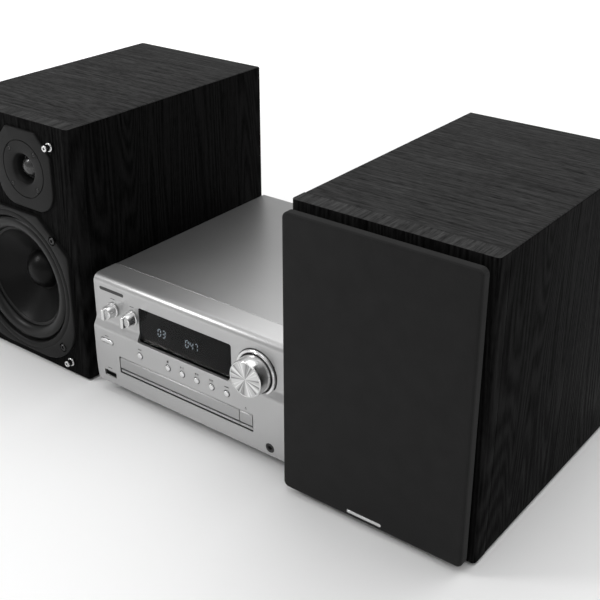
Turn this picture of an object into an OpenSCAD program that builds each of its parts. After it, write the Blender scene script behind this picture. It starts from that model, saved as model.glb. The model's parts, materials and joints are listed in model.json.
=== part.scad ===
// Mini hifi system: a silver CD receiver between two black two-way shelf speakers.
// +Z is up and the fronts face -Y. The origin is on the floor, at the middle of the whole set.
// Each speaker is drawn about the middle of its own front, each receiver part from the
// receiver's front left corner on the floor, with +Y running backwards.

/* [Layout] */
// Gap between the left speaker and the receiver
gap_left = 17; // [8:1:60]
// Gap between the receiver and the right speaker
gap_right = 8; // [6:1:60]
// How far the right speaker stands ahead of the left one
right_ahead = 4.5; // [0:0.5:10]

/* [Receiver] */
// Width of the receiver
unit_w = 211; // [211:1:230]
// Height of the receiver over its feet
unit_h = 114; // [112:1:130]
// Depth of the case, front face to rear plate
unit_d = 229; // [225:1:260]
// Height of the feet
foot_h = 11.5; // [8:0.5:14]
// Wall of the front moulding
panel_wall = 2.5; // [2:0.1:3]
// Thickness of the sheet steel
sheet = 1.2; // [0.8:0.1:1.5]
// How far the lower half of the front stands out
step_out = 4; // [2:0.5:4]

/* [Controls] */
// Radius of the volume knob
volume_r = 15.6; // [13:0.1:16]
// How far the volume knob stands out
volume_out = 14.5; // [12:0.5:20]
// Radius of the small tone knobs
tone_r = 6; // [5:0.5:6.5]
// Radius of the round buttons
button_r = 2.6; // [2:0.1:3]

/* [Disc drive] */
// Width of the disc tray
tray_w = 130; // [128:1:132]
// Length of the disc tray
tray_len = 155; // [150:1:158]
// Teeth of the loading gear
gear_teeth = 14; // [12:1:16]
// Tooth module of the loading gear
gear_module = 1.25; // [1:0.05:1.3]

/* [Speakers] */
// Width of a speaker
spk_w = 161; // [155:1:180]
// Height of a speaker over its pads
spk_h = 238; // [234:1:260]
// Depth of a speaker without its grille
spk_d = 248; // [200:1:280]
// Thickness of the cabinet walls
spk_wall = 12; // [9:1:15]
// Thickness of the baffle
baffle_t = 15; // [12:1:18]
// Height of the pads under a speaker
pad_h = 2; // [1:0.5:3]
// Half width of the woofer's frame plate
woofer_half = 70.7; // [66:0.1:72]
// Height of the woofer's centre
woofer_z = 80.5; // [79:0.5:84]
// Height of the tweeter's centre
tweeter_z = 192.4; // [191:0.1:194]
// How far the tweeter sits inwards from the middle
tweeter_x = 22.8; // [21.5:0.1:24]

/* [Grille] */
// Thickness of the grille
grille_t = 8; // [6:0.5:9]
// Gap between the grille and the baffle
grille_gap = 7; // [6:0.5:8]
// Margin of the grille at the sides
grille_margin = 2.7; // [2:0.1:5]

/* [Hidden] */

// Places of the three boxes
total_w = 2 * spk_w + gap_left + unit_w + gap_right;
front_y = -(spk_d - right_ahead - grille_gap - grille_t) / 2;
left_x = -total_w / 2 + spk_w / 2;
right_x = total_w / 2 - spk_w / 2;
unit_x = -total_w / 2 + spk_w + gap_left;

// Receiver: front outline, seen from the side
top_r = 7;
flange_y = 26.5;
ridge_z = 64.5;
slope_z = 75;
chin_r = 3;
seam = 0.3;
lap = 0.02;

// Receiver: openings of the front, as [x, z] corners and sizes
window = [53, 66.5, 102, 31.5];
tray_slot = [30, 29.2, 149.2, 15.6];
slot_top = tray_slot[1] + tray_slot[3];
power_at = [15.8, 55.4];
power_size = [14.6, 3.6];
usb_at = [16.5, 22.7];
usb_size = [14.2, 6];
jack_at = [195.8, 20.7];
jack_r = 4.3;
plug_r = 1.8;
volume_at = [181, 83];
bass_at = [22.5, 86.5];
treble_at = [45.5, 86];
button_z = 54.7;
button_x = [55.9, 88.3, 104.4, 120.5, 136.6, 152.7];
round_gap = 0.1;
shaft_r = 3;
tone_shaft_r = 2.5;
shaft_gap = 0.06;
collar_r = 19.5;

board_z = 57;

// Receiver: sockets of the rear plate
aerial_at = [30, 92];
aux_x = [58, 72];
aux_z = 92;
inlet_at = [28, 30];
outlet_x = [110, 190];
outlet_z = 34;
post_r = 7.5;

// Disc drive
door_w = 134.6;
tray_x = tray_slot[0] + 0.5 + door_w / 2;
tray_low = 31;
tray_high = 43.5;
disc_y = 72;
disc_r = 60.7;
rack_x = tray_x - tray_w / 2 + 5;
pitch_r = gear_teeth * gear_module / 2;
gear_y = 18;
rack_start = 10;
sled_y = 92;
rod_x = 19;

// Speakers
cone_r = 47;
surround_r = 61;
lip_r = 62;
dust_r = 19;
coil_r = 12.9;
super_x = -47;
stud_x = 60;
stud_z = [14.5, spk_h - 18];
stud_r = 2.9;
stud_collar = 4;
stud_out = 8;
port_z = 190;
port_r = 17;
cup_z = 70;
socket_r = 2;
socket_step = 19;

vinyl = [0.035, 0.035, 0.037];
baffle_black = [0.05, 0.05, 0.052];
matt_black = [0.07, 0.07, 0.072];
silver = [0.78, 0.78, 0.79];
steel = [0.62, 0.63, 0.65];
dark_grey = [0.2, 0.2, 0.21];
board_green = [0.05, 0.25, 0.12];

// ---------------------------------------------------------------- helpers

// Points of an arc from angle a to angle b about [x, y]
function arc(x, y, r, a, b, n = 8) =
    [for (i = [0 : n]) [x + r * cos(a + (b - a) * i / n), y + r * sin(a + (b - a) * i / n)]];

function reversed(p) = [for (i = [len(p) - 1 : -1 : 0]) p[i]];

// Smooth change from 0 to 1
function ease(t) = (1 - cos(180 * t)) / 2;

// A rectangle with round corners, drawn about its centre
module round_rect(w, h, r) {
    square([w - 2 * r, h], center = true);
    square([w, h - 2 * r], center = true);
    for (sx = [-1, 1], sy = [-1, 1])
        translate([sx * (w / 2 - r), sy * (h / 2 - r)]) circle(r = r, $fn = 48);
}

// A flat outline in x and z, given thickness from y0 to y1
module slab(y0, y1) {
    translate([0, y1, 0]) rotate([90, 0, 0]) linear_extrude(y1 - y0) children();
}

// A round bar along y, about [x, z]
module bar(x, z, r, y0, y1) {
    translate([x, y1, z]) rotate([90, 0, 0]) cylinder(r = r, h = y1 - y0, $fn = 64);
}

// A cone along y, with radius r0 at y0 and r1 at y1
module taper(x, z, r0, r1, y0, y1) {
    translate([x, y0, z]) rotate([-90, 0, 0]) cylinder(r1 = r0, r2 = r1, h = y1 - y0, $fn = 64);
}

// A box from corner to corner
module block(a, b) {
    translate(a) cube(b - a);
}

// A profile of [radius, y] points, turned about the y direction through [x, z]
module turned(x, z) {
    translate([x, 0, z]) rotate([-90, 0, 0]) rotate_extrude($fn = 96) children();
}

module on_unit() { translate([unit_x, front_y, 0]) children(); }
module on_left() { translate([left_x, front_y, 0]) children(); }
module on_right() { translate([right_x, front_y - right_ahead, 0]) mirror([1, 0, 0]) children(); }

// ---------------------------------------------------------------- receiver

// Outline of the front in [y, z], moved inwards by w
function front_outline(w) = concat(
    [[flange_y, unit_h - w]],
    arc(top_r, unit_h - top_r, top_r - w, 90, 180),
    [for (i = [0 : 8]) [w - step_out * ease(i / 8), slope_z - (slope_z - ridge_z) * i / 8]],
    [[w - step_out, 33], [w - step_out + 0.5, 21], [w - step_out + 1.8, foot_h + chin_r],
     [w - step_out + 1.8 + chin_r, foot_h + w]],
    [[12, foot_h + w]]);

module front_shell() {
    rotate([90, 0, 90]) {
        linear_extrude(unit_w) polygon(concat(front_outline(0), reversed(front_outline(panel_wall))));
        for (x = [0, unit_w - panel_wall]) translate([0, 0, x])
            linear_extrude(panel_wall) polygon(concat(front_outline(0), [[flange_y, foot_h]]));
    }
}

// Part of the front between two heights, inside the rim that surrounds it
module face_space(z0, z1) {
    block([panel_wall, -9, z0], [unit_w - panel_wall, 30, z1]);
}

// The front moulding is drawn as a rim, an upper face and a lower face, so that each is a simple shape
module front_rim() {
    on_unit() color(silver) difference() {
        front_shell();
        face_space(foot_h + chin_r, unit_h - top_r);
    }
}

module front_panel() {
    on_unit() color(silver) difference() {
        intersection() {
            face_space(slot_top, unit_h - top_r);
            union() {
                front_shell();
                bar(volume_at[0], volume_at[1], collar_r, -2.5, panel_wall);
                bar(volume_at[0], volume_at[1], 7, 0, 10);
                for (p = [bass_at, treble_at]) bar(p[0], p[1], 5, 0, 8);
            }
        }
        bar(volume_at[0], volume_at[1], volume_r + 1.4, -9, -0.5);
        bar(volume_at[0], volume_at[1], shaft_r + shaft_gap, -9, 20);
        for (p = [bass_at, treble_at]) bar(p[0], p[1], tone_shaft_r + shaft_gap, -9, 20);
        translate([window[0] + window[2] / 2, 0, window[1] + window[3] / 2])
            slab(-9, 9) round_rect(window[2], window[3], 2);
        translate([power_at[0], 0, power_at[1]]) slab(-9, 9)
            round_rect(power_size[0] + 0.4, power_size[1] + 0.4, power_size[1] / 2 + 0.19);
        for (x = button_x) bar(x, button_z, button_r + round_gap, -9, 9);
    }
}

module front_sill() {
    on_unit() color(silver) difference() {
        intersection() {
            face_space(foot_h + chin_r, slot_top);
            front_shell();
        }
        block([tray_slot[0], -9, tray_slot[1]], [tray_slot[0] + tray_slot[2], 9, slot_top + 9]);
        translate([usb_at[0], 0, usb_at[1]]) slab(-9, 9) square(usb_size, center = true);
        bar(jack_at[0], jack_at[1], jack_r, -9, 9);
    }
}

module chassis() {
    edge = sheet + 0.1;
    inset = panel_wall + 0.3;
    on_unit() color(steel) {
        block([edge, flange_y + seam, foot_h], [unit_w - edge, unit_d, foot_h + sheet]);
        block([inset, 13, foot_h], [unit_w - inset, flange_y + seam, foot_h + sheet]);
        for (x = [edge, unit_w - edge - sheet])
            block([x, flange_y + seam, foot_h + sheet], [x + sheet, unit_d, foot_h + 9]);
        for (x = [18, unit_w - 14], y = [40, 152])
            translate([x, y, foot_h]) cylinder(r = 3, h = board_z - foot_h, $fn = 32);
    }
}

// Cross-section of the cover: a U with rounded shoulders, moved inwards by w
function cover_line(w) = concat(
    [[w, foot_h]],
    arc(1.5 + w / 2, unit_h - w - 1.5 + w / 2, 1.5 - w / 2, 180, 90, 4),
    arc(unit_w - 1.5 - w / 2, unit_h - w - 1.5 + w / 2, 1.5 - w / 2, 90, 0, 4),
    [[unit_w - w, foot_h]]);

module top_cover() {
    on_unit() color(silver) {
        translate([0, unit_d, 0]) rotate([90, 0, 0])
            linear_extrude(unit_d - flange_y - seam)
                polygon(concat(cover_line(0), reversed(cover_line(sheet))));
    }
}

module rear_panel() {
    inset = 2 * sheet + 1.5;
    top = unit_h - sheet - 0.2;
    on_unit() color(dark_grey) difference() {
        union() {
            block([inset - sheet, unit_d - 10, foot_h + sheet + 0.1], [unit_w - inset + sheet, unit_d, top]);
            block([sheet + 0.2, unit_d, foot_h + sheet + 0.1], [unit_w - sheet - 0.2, unit_d + 1.5, top]);
        }
        block([inset, unit_d - 20, 0], [unit_w - inset, unit_d, top - sheet]);
        for (x = [0 : 11])
            block([104 + 7.5 * x, unit_d - 1, 72], [107.5 + 7.5 * x, unit_d + 9, 98]);
        bar(aerial_at[0], aerial_at[1], 5, unit_d - 9, unit_d + 9);
        for (x = aux_x) bar(x, aux_z, 4.3, unit_d - 9, unit_d + 9);
        block([inlet_at[0] - 14, unit_d - 1, inlet_at[1] - 8], [inlet_at[0] + 14, unit_d + 9, inlet_at[1] + 8]);
        for (i = [0 : 3]) bar(terminal_x(i), outlet_z, post_r + 0.2, unit_d - 1, unit_d + 9);
    }
}

module rear_sockets() {
    y0 = unit_d - 4;
    on_unit() color(matt_black) {
        difference() {
            bar(aerial_at[0], aerial_at[1], 4.8, y0, unit_d + 9);
            bar(aerial_at[0], aerial_at[1], 3.6, unit_d, unit_d + 19);
        }
        for (x = aux_x) difference() {
            bar(x, aux_z, 4.1, y0, unit_d + 9);
            bar(x, aux_z, 1.6, unit_d - 1, unit_d + 19);
        }
        difference() {
            block([inlet_at[0] - 13.8, unit_d - 16, inlet_at[1] - 7.8],
                  [inlet_at[0] + 13.8, unit_d + 3, inlet_at[1] + 7.8]);
            translate([inlet_at[0], 0, inlet_at[1]]) slab(unit_d - 11, unit_d + 19) round_rect(16, 9, 4.4);
        }
        for (s = [-1, 1]) bar(inlet_at[0] + s * 4, inlet_at[1], 1.2, unit_d - 11 - lap, unit_d - 1);
    }
}

// Four round posts in two pairs
function terminal_x(i) = i < 2 ? outlet_x[0] + i * socket_step : outlet_x[1] - (3 - i) * socket_step;

module speaker_terminals() {
    on_unit() color(matt_black) for (i = [0 : 3]) difference() {
        bar(terminal_x(i), outlet_z, post_r, unit_d - 14, unit_d + 4);
        bar(terminal_x(i), outlet_z, socket_r, unit_d - 12, unit_d + 19);
    }
}

module unit_feet() {
    on_unit() color(matt_black)
        for (x = [24, unit_w - 24], y = [26, unit_d - 26])
            translate([x, y, 0]) cylinder(r = 11, h = foot_h, $fn = 64);
}

module display_window() {
    on_unit() color([0.12, 0.13, 0.14])
        translate([window[0] + window[2] / 2, 0, window[1] + window[3] / 2])
            slab(0.4, 2.2) round_rect(window[2] - 0.3, window[3] - 0.3, 1.85);
}

module display_module() {
    on_unit() color(dark_grey) {
        block([window[0] + 3, 3.2, window[1] + 3], [window[0] + window[2] - 3, 7, window[1] + window[3] - 3]);
        block([window[0] - 1, 7, window[1] - 1], [window[0] + window[2] + 1, 8.6, window[1] + window[3] + 2]);
    }
}

module main_board() {
    on_unit() color(board_green) {
        block([12, 34, board_z], [199, 158, board_z + 1.6]);
        for (x = [30, 52, 74]) translate([x, 140, board_z + 1.6]) cylinder(r = 8, h = 28, $fn = 40);
        block([60, 60, board_z + 1.6], [84, 84, board_z + 4]);
        block([110, 70, board_z + 1.6], [128, 88, board_z + 4]);
        for (i = [0 : 6]) block([140 + 7 * i, 108, board_z + 1.6], [142 + 7 * i, 150, board_z + 34]);
        block([138, 106, board_z + 1.6], [186, 108, board_z + 34]);
    }
}

// Transformer: a laminated core with its winding standing out in front and behind
module power_supply() {
    base = foot_h + sheet;
    on_unit() color(dark_grey) {
        block([44, 178, base], [96, 212, base + 45]);
        block([52, 168, base + 8], [88, 178, base + 37]);
        block([52, 212, base + 8], [88, 222, base + 37]);
    }
}

module loader_frame() {
    rail = 3;
    gap = 1;
    x0 = tray_x - tray_w / 2 - gap - rail;
    x1 = tray_x + tray_w / 2 + gap;
    on_unit() color(matt_black) {
        for (x = [x0, x1]) block([x, 13, foot_h + sheet], [x + rail, 164, 50]);
        block([x0 + rail, 56, 47], [x1, 90, 50]);
        difference() {
            block([x0 + rail, 13, 19], [x1, 164, 21.5]);
            block([tray_x - 17, 86, 18], [tray_x + 17, 150, 22]);
        }
        for (s = [-1, 1]) {
            block([tray_x + s * rod_x - 2.5, 84, 21.5], [tray_x + s * rod_x + 2.5, 88, 29]);
            block([tray_x + s * rod_x - 2.5, 152, 21.5], [tray_x + s * rod_x + 2.5, 156, 29]);
            bar(tray_x + s * rod_x, 27, 1.5, 88, 152);
        }
        translate([rack_x + pitch_r, gear_y, 21.5]) cylinder(r = 2.5, h = 13.6, $fn = 48);
        for (s = [-1, 1]) block([tray_x + s * (tray_w / 2 - 1.8) - 1.5, 13, 21.5],
                                [tray_x + s * (tray_w / 2 - 1.8) + 1.5, 160, tray_low - 0.3]);
    }
}

// One side of an involute tooth: points from the base circle to the tip, turned to face its middle
function involute(base, t) = [base * (cos(t) + t * PI / 180 * sin(t)), base * (sin(t) - t * PI / 180 * cos(t))];
function turn(p, a) = [p[0] * cos(a) - p[1] * sin(a), p[0] * sin(a) + p[1] * cos(a)];
function flip(p) = [p[0], -p[1]];
function reach(base, r) = sqrt(max(0, r * r / (base * base) - 1)) * 180 / PI;

module gear_outline(teeth, m, slack) {
    rp = teeth * m / 2;
    base = rp * cos(20);
    tip = rp + 0.9 * m;
    root = rp - 1.15 * m;
    at_pitch = involute(base, reach(base, rp));
    lean = atan2(at_pitch[1], at_pitch[0]) + 90 / teeth - slack / rp * 90 / PI;
    low = max(root, base);
    side = [for (i = [0 : 5]) turn(involute(base, reach(base, low + (tip - low) * i / 5)), -lean)];
    points = [for (k = [0 : teeth - 1]) for (p = concat([[root, side[0][1] * 1.05]], side,
              [for (q = reversed(side)) flip(q)], [[root, -side[0][1] * 1.05]])) turn(p, k * 360 / teeth)];
    polygon(points);
}

module loading_gear() {
    on_unit() color([0.85, 0.85, 0.82]) translate([rack_x + pitch_r, gear_y, 0]) difference() {
        union() {
            translate([0, 0, tray_low + 0.4]) linear_extrude(4)
                rotate(180) gear_outline(gear_teeth, gear_module, 0.12);
            translate([0, 0, 22]) cylinder(r = 5, h = tray_low + 0.5 - 22, $fn = 48);
        }
        translate([0, 0, 0]) cylinder(r = 2.5 + shaft_gap, h = 60, $fn = 64);
    }
}

// Straight-sided rack tooth spaces that mesh with the gear
module rack_teeth() {
    pitch = PI * gear_module;
    for (k = [0 : floor((tray_len - rack_start - 6) / pitch)]) {
        y = gear_y + pitch * (k + 0.5) - pitch * floor((gear_y - rack_start) / pitch);
        half = pitch / 4 - 0.06;
        polygon([[-1.15 * gear_module, y - half - 1.15 * gear_module * tan(20)],
                 [0.9 * gear_module, y - half + 0.9 * gear_module * tan(20)],
                 [0.9 * gear_module, y + half - 0.9 * gear_module * tan(20)],
                 [-1.15 * gear_module, y + half + 1.15 * gear_module * tan(20)]]);
    }
}

module disc_tray() {
    x0 = tray_x - tray_w / 2;
    x1 = tray_x + tray_w / 2;
    floor_low = 36;
    dish = 41;
    on_unit() color(matt_black) {
        difference() {
            union() {
                block([x0, 0, floor_low], [x1, tray_len, tray_high]);
                block([x0, 0, tray_low], [x0 + 3.5, tray_len, floor_low]);
                block([x1 - 3.5, 0, tray_low], [x1, tray_len, floor_low]);
            }
            translate([tray_x, disc_y, dish]) cylinder(r = disc_r, h = 9, $fn = 128);
            translate([tray_x, disc_y, dish - 1.2]) cylinder(r = 41, h = 9, $fn = 128);
            block([tray_x - 22, disc_y - 20, 30], [tray_x + 22, tray_len + 9, 49]);
        }
        translate([rack_x, 0, tray_low]) linear_extrude(floor_low - tray_low) rack_teeth();
        block([x0 + 3.5, rack_start, tray_low], [rack_x - 1.15 * gear_module + lap, tray_len, floor_low]);
    }
}

// Outline in [y, z] of the tray door and the eject button: a swelling face over a set-back lip
module lipped_face(z0) {
    face = -step_out;
    polygon([[0, z0], [face + 2, z0], [face + 1.4, z0 + 1.2], [face + 1.4, z0 + 3.6], [face + 0.2, z0 + 4.2],
             [face, z0 + 9], [face + 0.2, z0 + 13.6], [face + 1, z0 + 14.6], [0, z0 + 14.6]]);
}

module tray_door() {
    on_unit() color(silver) rotate([90, 0, 90]) translate([0, 0, tray_slot[0] + 0.5])
        linear_extrude(door_w) lipped_face(tray_slot[1] + 0.4);
}

module disc_spindle() {
    on_unit() color(steel) translate([tray_x, disc_y, 0]) {
        translate([0, 0, 22]) cylinder(r = 12, h = 9, $fn = 64);
        translate([0, 0, 31]) cylinder(r = 1.5, h = 7, $fn = 32);
        translate([0, 0, 37.5]) cylinder(r = 14, h = 2.2, $fn = 64);
        translate([0, 0, 39.7]) cylinder(r = 7.2, h = 0.6, $fn = 64);
    }
}

module laser_sled() {
    on_unit() color(dark_grey) translate([tray_x, sled_y, 0]) {
        difference() {
            block([-24, 0, 23.5], [24, 24, 31]);
            for (s = [-1, 1]) bar(s * rod_x, 27, 1.5 + shaft_gap, -5, 40);
        }
        translate([0, 12, 31]) cylinder(r = 8, h = 3, $fn = 48);
        translate([0, 12, 34]) cylinder(r = 3, h = 1.2, $fn = 48);
    }
}

module volume_knob() {
    front = -volume_out;
    on_unit() color(silver) {
        turned(volume_at[0], volume_at[1])
            polygon([[0, front], [volume_r - 1, front], [volume_r - 0.3, front + 0.4],
                     [volume_r, front + 1.2], [volume_r + 0.6, -1.1], [0, -1.1]]);
        bar(volume_at[0], volume_at[1], shaft_r, -1.1 - lap, 12);
    }
}

// Small knob with a raised pointer bar at angle a
module tone_knob(at, a) {
    on_unit() color(silver) {
        bar(at[0], at[1], tone_r + 0.8, -2, -0.4);
        taper(at[0], at[1], tone_r - 0.5, tone_r, -9.5, -2);
        translate([at[0], 0, at[1]]) rotate([0, a, 0])
            slab(-13, -6) square([3.4, 2 * tone_r - 1.6], center = true);
        bar(at[0], at[1], tone_shaft_r, -0.4 - lap, 10);
    }
}

module bass_knob() { tone_knob(bass_at, 0); }
module treble_knob() { tone_knob(treble_at, 0); }

module power_button() {
    on_unit() color(silver) translate([power_at[0], 0, power_at[1]]) {
        slab(-step_out - 0.6, 0) round_rect(power_size[0], power_size[1], power_size[1] / 2 - 0.01);
        slab(0, 1) round_rect(power_size[0] + 2, power_size[1] + 2, power_size[1] / 2);
    }
}

// Round button with a domed face, held by a flange behind the panel
module round_button(i) {
    x = button_x[i];
    face = -step_out - 0.5;
    dome = 0.7;
    ball = (button_r * button_r + dome * dome) / (2 * dome);
    on_unit() color(silver) {
        bar(x, button_z, button_r, face, 0);
        intersection() {
            translate([x, face - dome + ball, button_z]) sphere(r = ball, $fn = 96);
            bar(x, button_z, button_r, face - 2, face + lap);
        }
        bar(x, button_z, button_r + 1.2, 0, 1);
    }
}

module selector_button() { round_button(0); }
module stop_button() { round_button(1); }
module play_button() { round_button(2); }
module skip_back_button() { round_button(3); }
module skip_ahead_button() { round_button(4); }
module usb_button() { round_button(5); }

module eject_button() {
    x0 = tray_slot[0] + door_w + 1;
    w = tray_slot[2] - door_w - 1.5;
    z0 = tray_slot[1] + 0.4;
    on_unit() color(silver) {
        rotate([90, 0, 90]) translate([0, 0, x0]) linear_extrude(w) lipped_face(z0);
        block([x0 + 3, -lap, z0 + 3], [x0 + w - 3, 8, z0 + 11]);
    }
}

module usb_port() {
    shell = [13.2, 5.7];
    on_unit() color(steel) translate([usb_at[0], 0, usb_at[1]]) {
        difference() {
            slab(-step_out + 1.4, 13) square(shell, center = true);
            slab(-step_out - 1, 12) square(shell - [0.7, 0.7], center = true);
        }
        translate([0, 0, 1.2]) slab(-step_out + 2.4, 12 + lap) square([11, 1.8], center = true);
    }
}

module headphone_jack() {
    on_unit() color(matt_black) difference() {
        union() {
            bar(jack_at[0], jack_at[1], jack_r - 0.1, -step_out + 0.4, 4);
            block([jack_at[0] - 6, 4, foot_h + 2.8], [jack_at[0] + 6, 16, jack_at[1] + 6]);
        }
        bar(jack_at[0], jack_at[1], plug_r, -9, 14);
    }
}

// ---------------------------------------------------------------- speakers

module cabinet() {
    inner_w = spk_w - 2 * spk_wall;
    color(vinyl) difference() {
        block([-spk_w / 2, baffle_t, pad_h], [spk_w / 2, spk_d, spk_h]);
        block([-inner_w / 2, baffle_t - 1, pad_h + spk_wall], [inner_w / 2, spk_d - spk_wall, spk_h - spk_wall]);
        bar(0, port_z, port_r + 2.6, spk_d - 20, spk_d + 9);
        bar(0, port_z, port_r + 9, spk_d - 2.5, spk_d + 9);
        block([-33, spk_d - 20, cup_z - 22], [33, spk_d + 9, cup_z + 22]);
        block([-39, spk_d - 2.5, cup_z - 28], [39, spk_d + 9, cup_z + 28]);
    }
}

module baffle() {
    color(baffle_black) difference() {
        translate([0, 0, (spk_h + pad_h) / 2]) slab(0, baffle_t) square([spk_w, spk_h - pad_h], center = true);
        bar(0, woofer_z, lip_r + 2, -1, baffle_t + 9);
        bar(tweeter_x, tweeter_z, 26, -1, baffle_t + 9);
        bar(super_x, tweeter_z, 12.5, -1, baffle_t + 9);
        for (x = [-stud_x, stud_x], z = stud_z) bar(x, z, stud_r + 0.1, -1, 12.2);
    }
}

// Outline of the woofer's plate: a square with cut top corners and rounded bottom ones
module woofer_outline() {
    h = woofer_half;
    cut = [36, 30];
    round_r = 45;
    polygon(concat([[-h + cut[0], h], [-h, h - cut[1]]],
                   arc(-h + round_r, -h + round_r, round_r, 180, 270, 10),
                   arc(h - round_r, -h + round_r, round_r, 270, 360, 10),
                   [[h, h - cut[1]], [h - cut[0], h]]));
}

module woofer_frame() {
    color(matt_black) translate([0, 0, woofer_z]) {
        difference() {
            slab(-4, 0) woofer_outline();
            bar(0, 0, lip_r, -9, 9);
        }
        difference() {
            turned(0, 0) polygon([[lip_r, 0], [lip_r + 1.8, 0], [lip_r + 1.8, 10], [44, 46], [44, 58],
                                  [14.5, 58], [14.5, 55.5], [41, 55.5], [41, 45], [lip_r - 1, 9]]);
            for (a = [0, 60, 120]) rotate([0, a, 0]) block([-11, 14, -80], [11, 42, 80]);
        }
    }
}

module woofer_magnet() {
    color(dark_grey) translate([0, 0, woofer_z]) {
        difference() {
            bar(0, 0, 40, 58, 84);
            bar(0, 0, 13.5, 50, 78);
        }
        bar(0, 0, 12.2, 58, 78 + lap);
    }
}

// Foam roll between the cone and the frame, and the spider behind it
module woofer_suspension() {
    roll = (surround_r - cone_r - 1.5) / 2;
    mid = cone_r + 1 + roll;
    color(matt_black) translate([0, 0, woofer_z]) {
        turned(0, 0) difference() {
            union() {
                translate([mid, 4]) circle(r = roll, $fn = 64);
                translate([mid + roll - 1, 3.5]) square([surround_r - mid - roll + 0.9, 1.5]);
            }
            translate([mid, 4]) circle(r = roll - 1, $fn = 64);
            translate([mid - 20, 4.5]) square([19 + roll, 20]);
        }
        turned(0, 0) polygon([[coil_r + 0.8, 40], [40.6, 46], [40.6, 47], [coil_r + 0.8, 41]]);
    }
}

module woofer_cone() {
    depth = 24;
    cap_out = 13;
    ball = (dust_r * dust_r + cap_out * cap_out) / (2 * cap_out);
    span = asin(dust_r / ball);
    apex = depth - cap_out + 0.4;
    color(matt_black) translate([0, 0, woofer_z]) {
        turned(0, 0) polygon([[cone_r, 4], [cone_r + 0.6, 5], [dust_r + 0.8, depth + 1],
                              [coil_r, depth + 6], [coil_r, 66], [coil_r - 0.4, 66],
                              [coil_r - 0.4, depth + 5], [dust_r, depth]]);
        turned(0, 0) polygon(concat(
            [for (i = [0 : 8]) [ball * sin(span * i / 8), apex + ball - ball * cos(span * i / 8)]],
            [for (i = [8 : -1 : 0]) [(ball - 1) * sin(span * i / 8), apex + ball - (ball - 1) * cos(span * i / 8)]]));
    }
}

// Outline of the tweeter's plate: cut top corners and rounded bottom ones
module tweeter_outline() {
    hw = 35.8;
    hh = 36;
    cut = [17, 18];
    round_r = 22;
    polygon(concat([[-hw + cut[0], hh], [-hw, hh - cut[1]]],
                   arc(-hw + round_r, -hh + round_r, round_r, 180, 270, 6),
                   arc(hw - round_r, -hh + round_r, round_r, 270, 360, 6),
                   [[hw, hh - cut[1]], [hw - cut[0], hh]]));
}

module tweeter_plate() {
    color(matt_black) translate([tweeter_x, 0, tweeter_z]) {
        difference() {
            union() {
                slab(-2.5, 0) tweeter_outline();
                bar(0, 0, 25.5, 0, 24);
            }
            turned(0, 0) polygon([[0, -3], [14.5, -3], [14, -1.5], [12, 3], [12, 14], [0, 14]]);
        }
    }
}

module tweeter_dome() {
    color(dark_grey) translate([tweeter_x, 0, tweeter_z]) {
        intersection() {
            translate([0, 12, 0]) sphere(r = 12, $fn = 96);
            bar(0, 0, 9, -9, 8);
        }
        bar(0, 0, 10.5, 8 - lap, 9);
        bar(0, 0, 9, 9 - lap, 12.5);
    }
}

module super_tweeter() {
    color(matt_black) translate([super_x, 0, tweeter_z]) {
        difference() {
            union() {
                bar(0, 0, 16, -2.5, 0);
                bar(0, 0, 12.3, 0, 16);
            }
            turned(0, 0) polygon([[0, -3], [11, -3], [10, -1], [5, 8], [0, 8]]);
        }
        taper(0, 0, 0.5, 3, 1, 8 + lap);
    }
}

// Polished steel studs that the magnets of a grille hold on to
module grille_studs() {
    color(steel) for (x = [-stud_x, stud_x], z = stud_z) {
        bar(x, z, stud_r, -stud_out, 12);
        bar(x, z, stud_collar, -3, 0);
    }
}

module port_tube() {
    color(matt_black) difference() {
        union() {
            bar(0, port_z, port_r + 2.4, spk_d - 105, spk_d - 1);
            bar(0, port_z, port_r + 8.8, spk_d - 2.4, spk_d - 0.2);
        }
        bar(0, port_z, port_r, spk_d - 120, spk_d + 9);
        taper(0, port_z, port_r - lap, port_r + 3.2, spk_d - 6, spk_d);
    }
}

module terminal_cup() {
    color(matt_black) translate([0, 0, cup_z]) difference() {
        union() {
            slab(spk_d - 2.3, spk_d - 0.2) round_rect(77, 55, 5);
            slab(spk_d - 19, spk_d - 2.3 + lap) round_rect(65, 43, 5);
        }
        slab(spk_d - 16.5, spk_d + 9) round_rect(60, 38, 4);
        for (s = [-1, 1]) bar(s * socket_step / 2, 0, 3.6, spk_d - 40, spk_d + 9);
    }
}

module terminal_sockets() {
    color(steel) for (s = [-1, 1]) difference() {
        union() {
            bar(s * socket_step / 2, cup_z, 3.5, spk_d - 22, spk_d - 4);
            bar(s * socket_step / 2, cup_z, 5.5, spk_d - 16.4, spk_d - 5);
        }
        bar(s * socket_step / 2, cup_z, socket_r, spk_d - 20, spk_d + 9);
    }
}

module pads() {
    color(matt_black) for (x = [-1, 1], y = [30, spk_d - 25])
        translate([x * (spk_w / 2 - 20), y, 0]) cylinder(r = 8, h = pad_h, $fn = 48);
}

// ---------------------------------------------------------------- grille

grille_w = spk_w - 2 * grille_margin;
grille_z = [6.4, spk_h - 3.9];
skin = 0.8;

module grille_frame() {
    w = grille_w - 2 * skin;
    h = grille_z[1] - grille_z[0] - 2 * skin;
    back = -grille_gap;
    front = -grille_gap - grille_t + skin;
    rim = 24;
    color(matt_black) translate([0, 0, (grille_z[0] + grille_z[1]) / 2]) {
        difference() {
            slab(front, back) round_rect(w, h, 4);
            slab(front - 9, back + 9) difference() {
                square([w - 2 * rim, h - 2 * rim], center = true);
                for (z = [-68, -19, 30, 64]) translate([0, z]) square([w, 5], center = true);
                for (x = [-18, 18]) translate([x, 0]) square([4, h], center = true);
            }
            for (x = [-stud_x, stud_x], z = stud_z)
                bar(x, z - (grille_z[0] + grille_z[1]) / 2, stud_r + 0.4, -stud_out - 0.5, back + 9);
        }
    }
}

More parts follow.
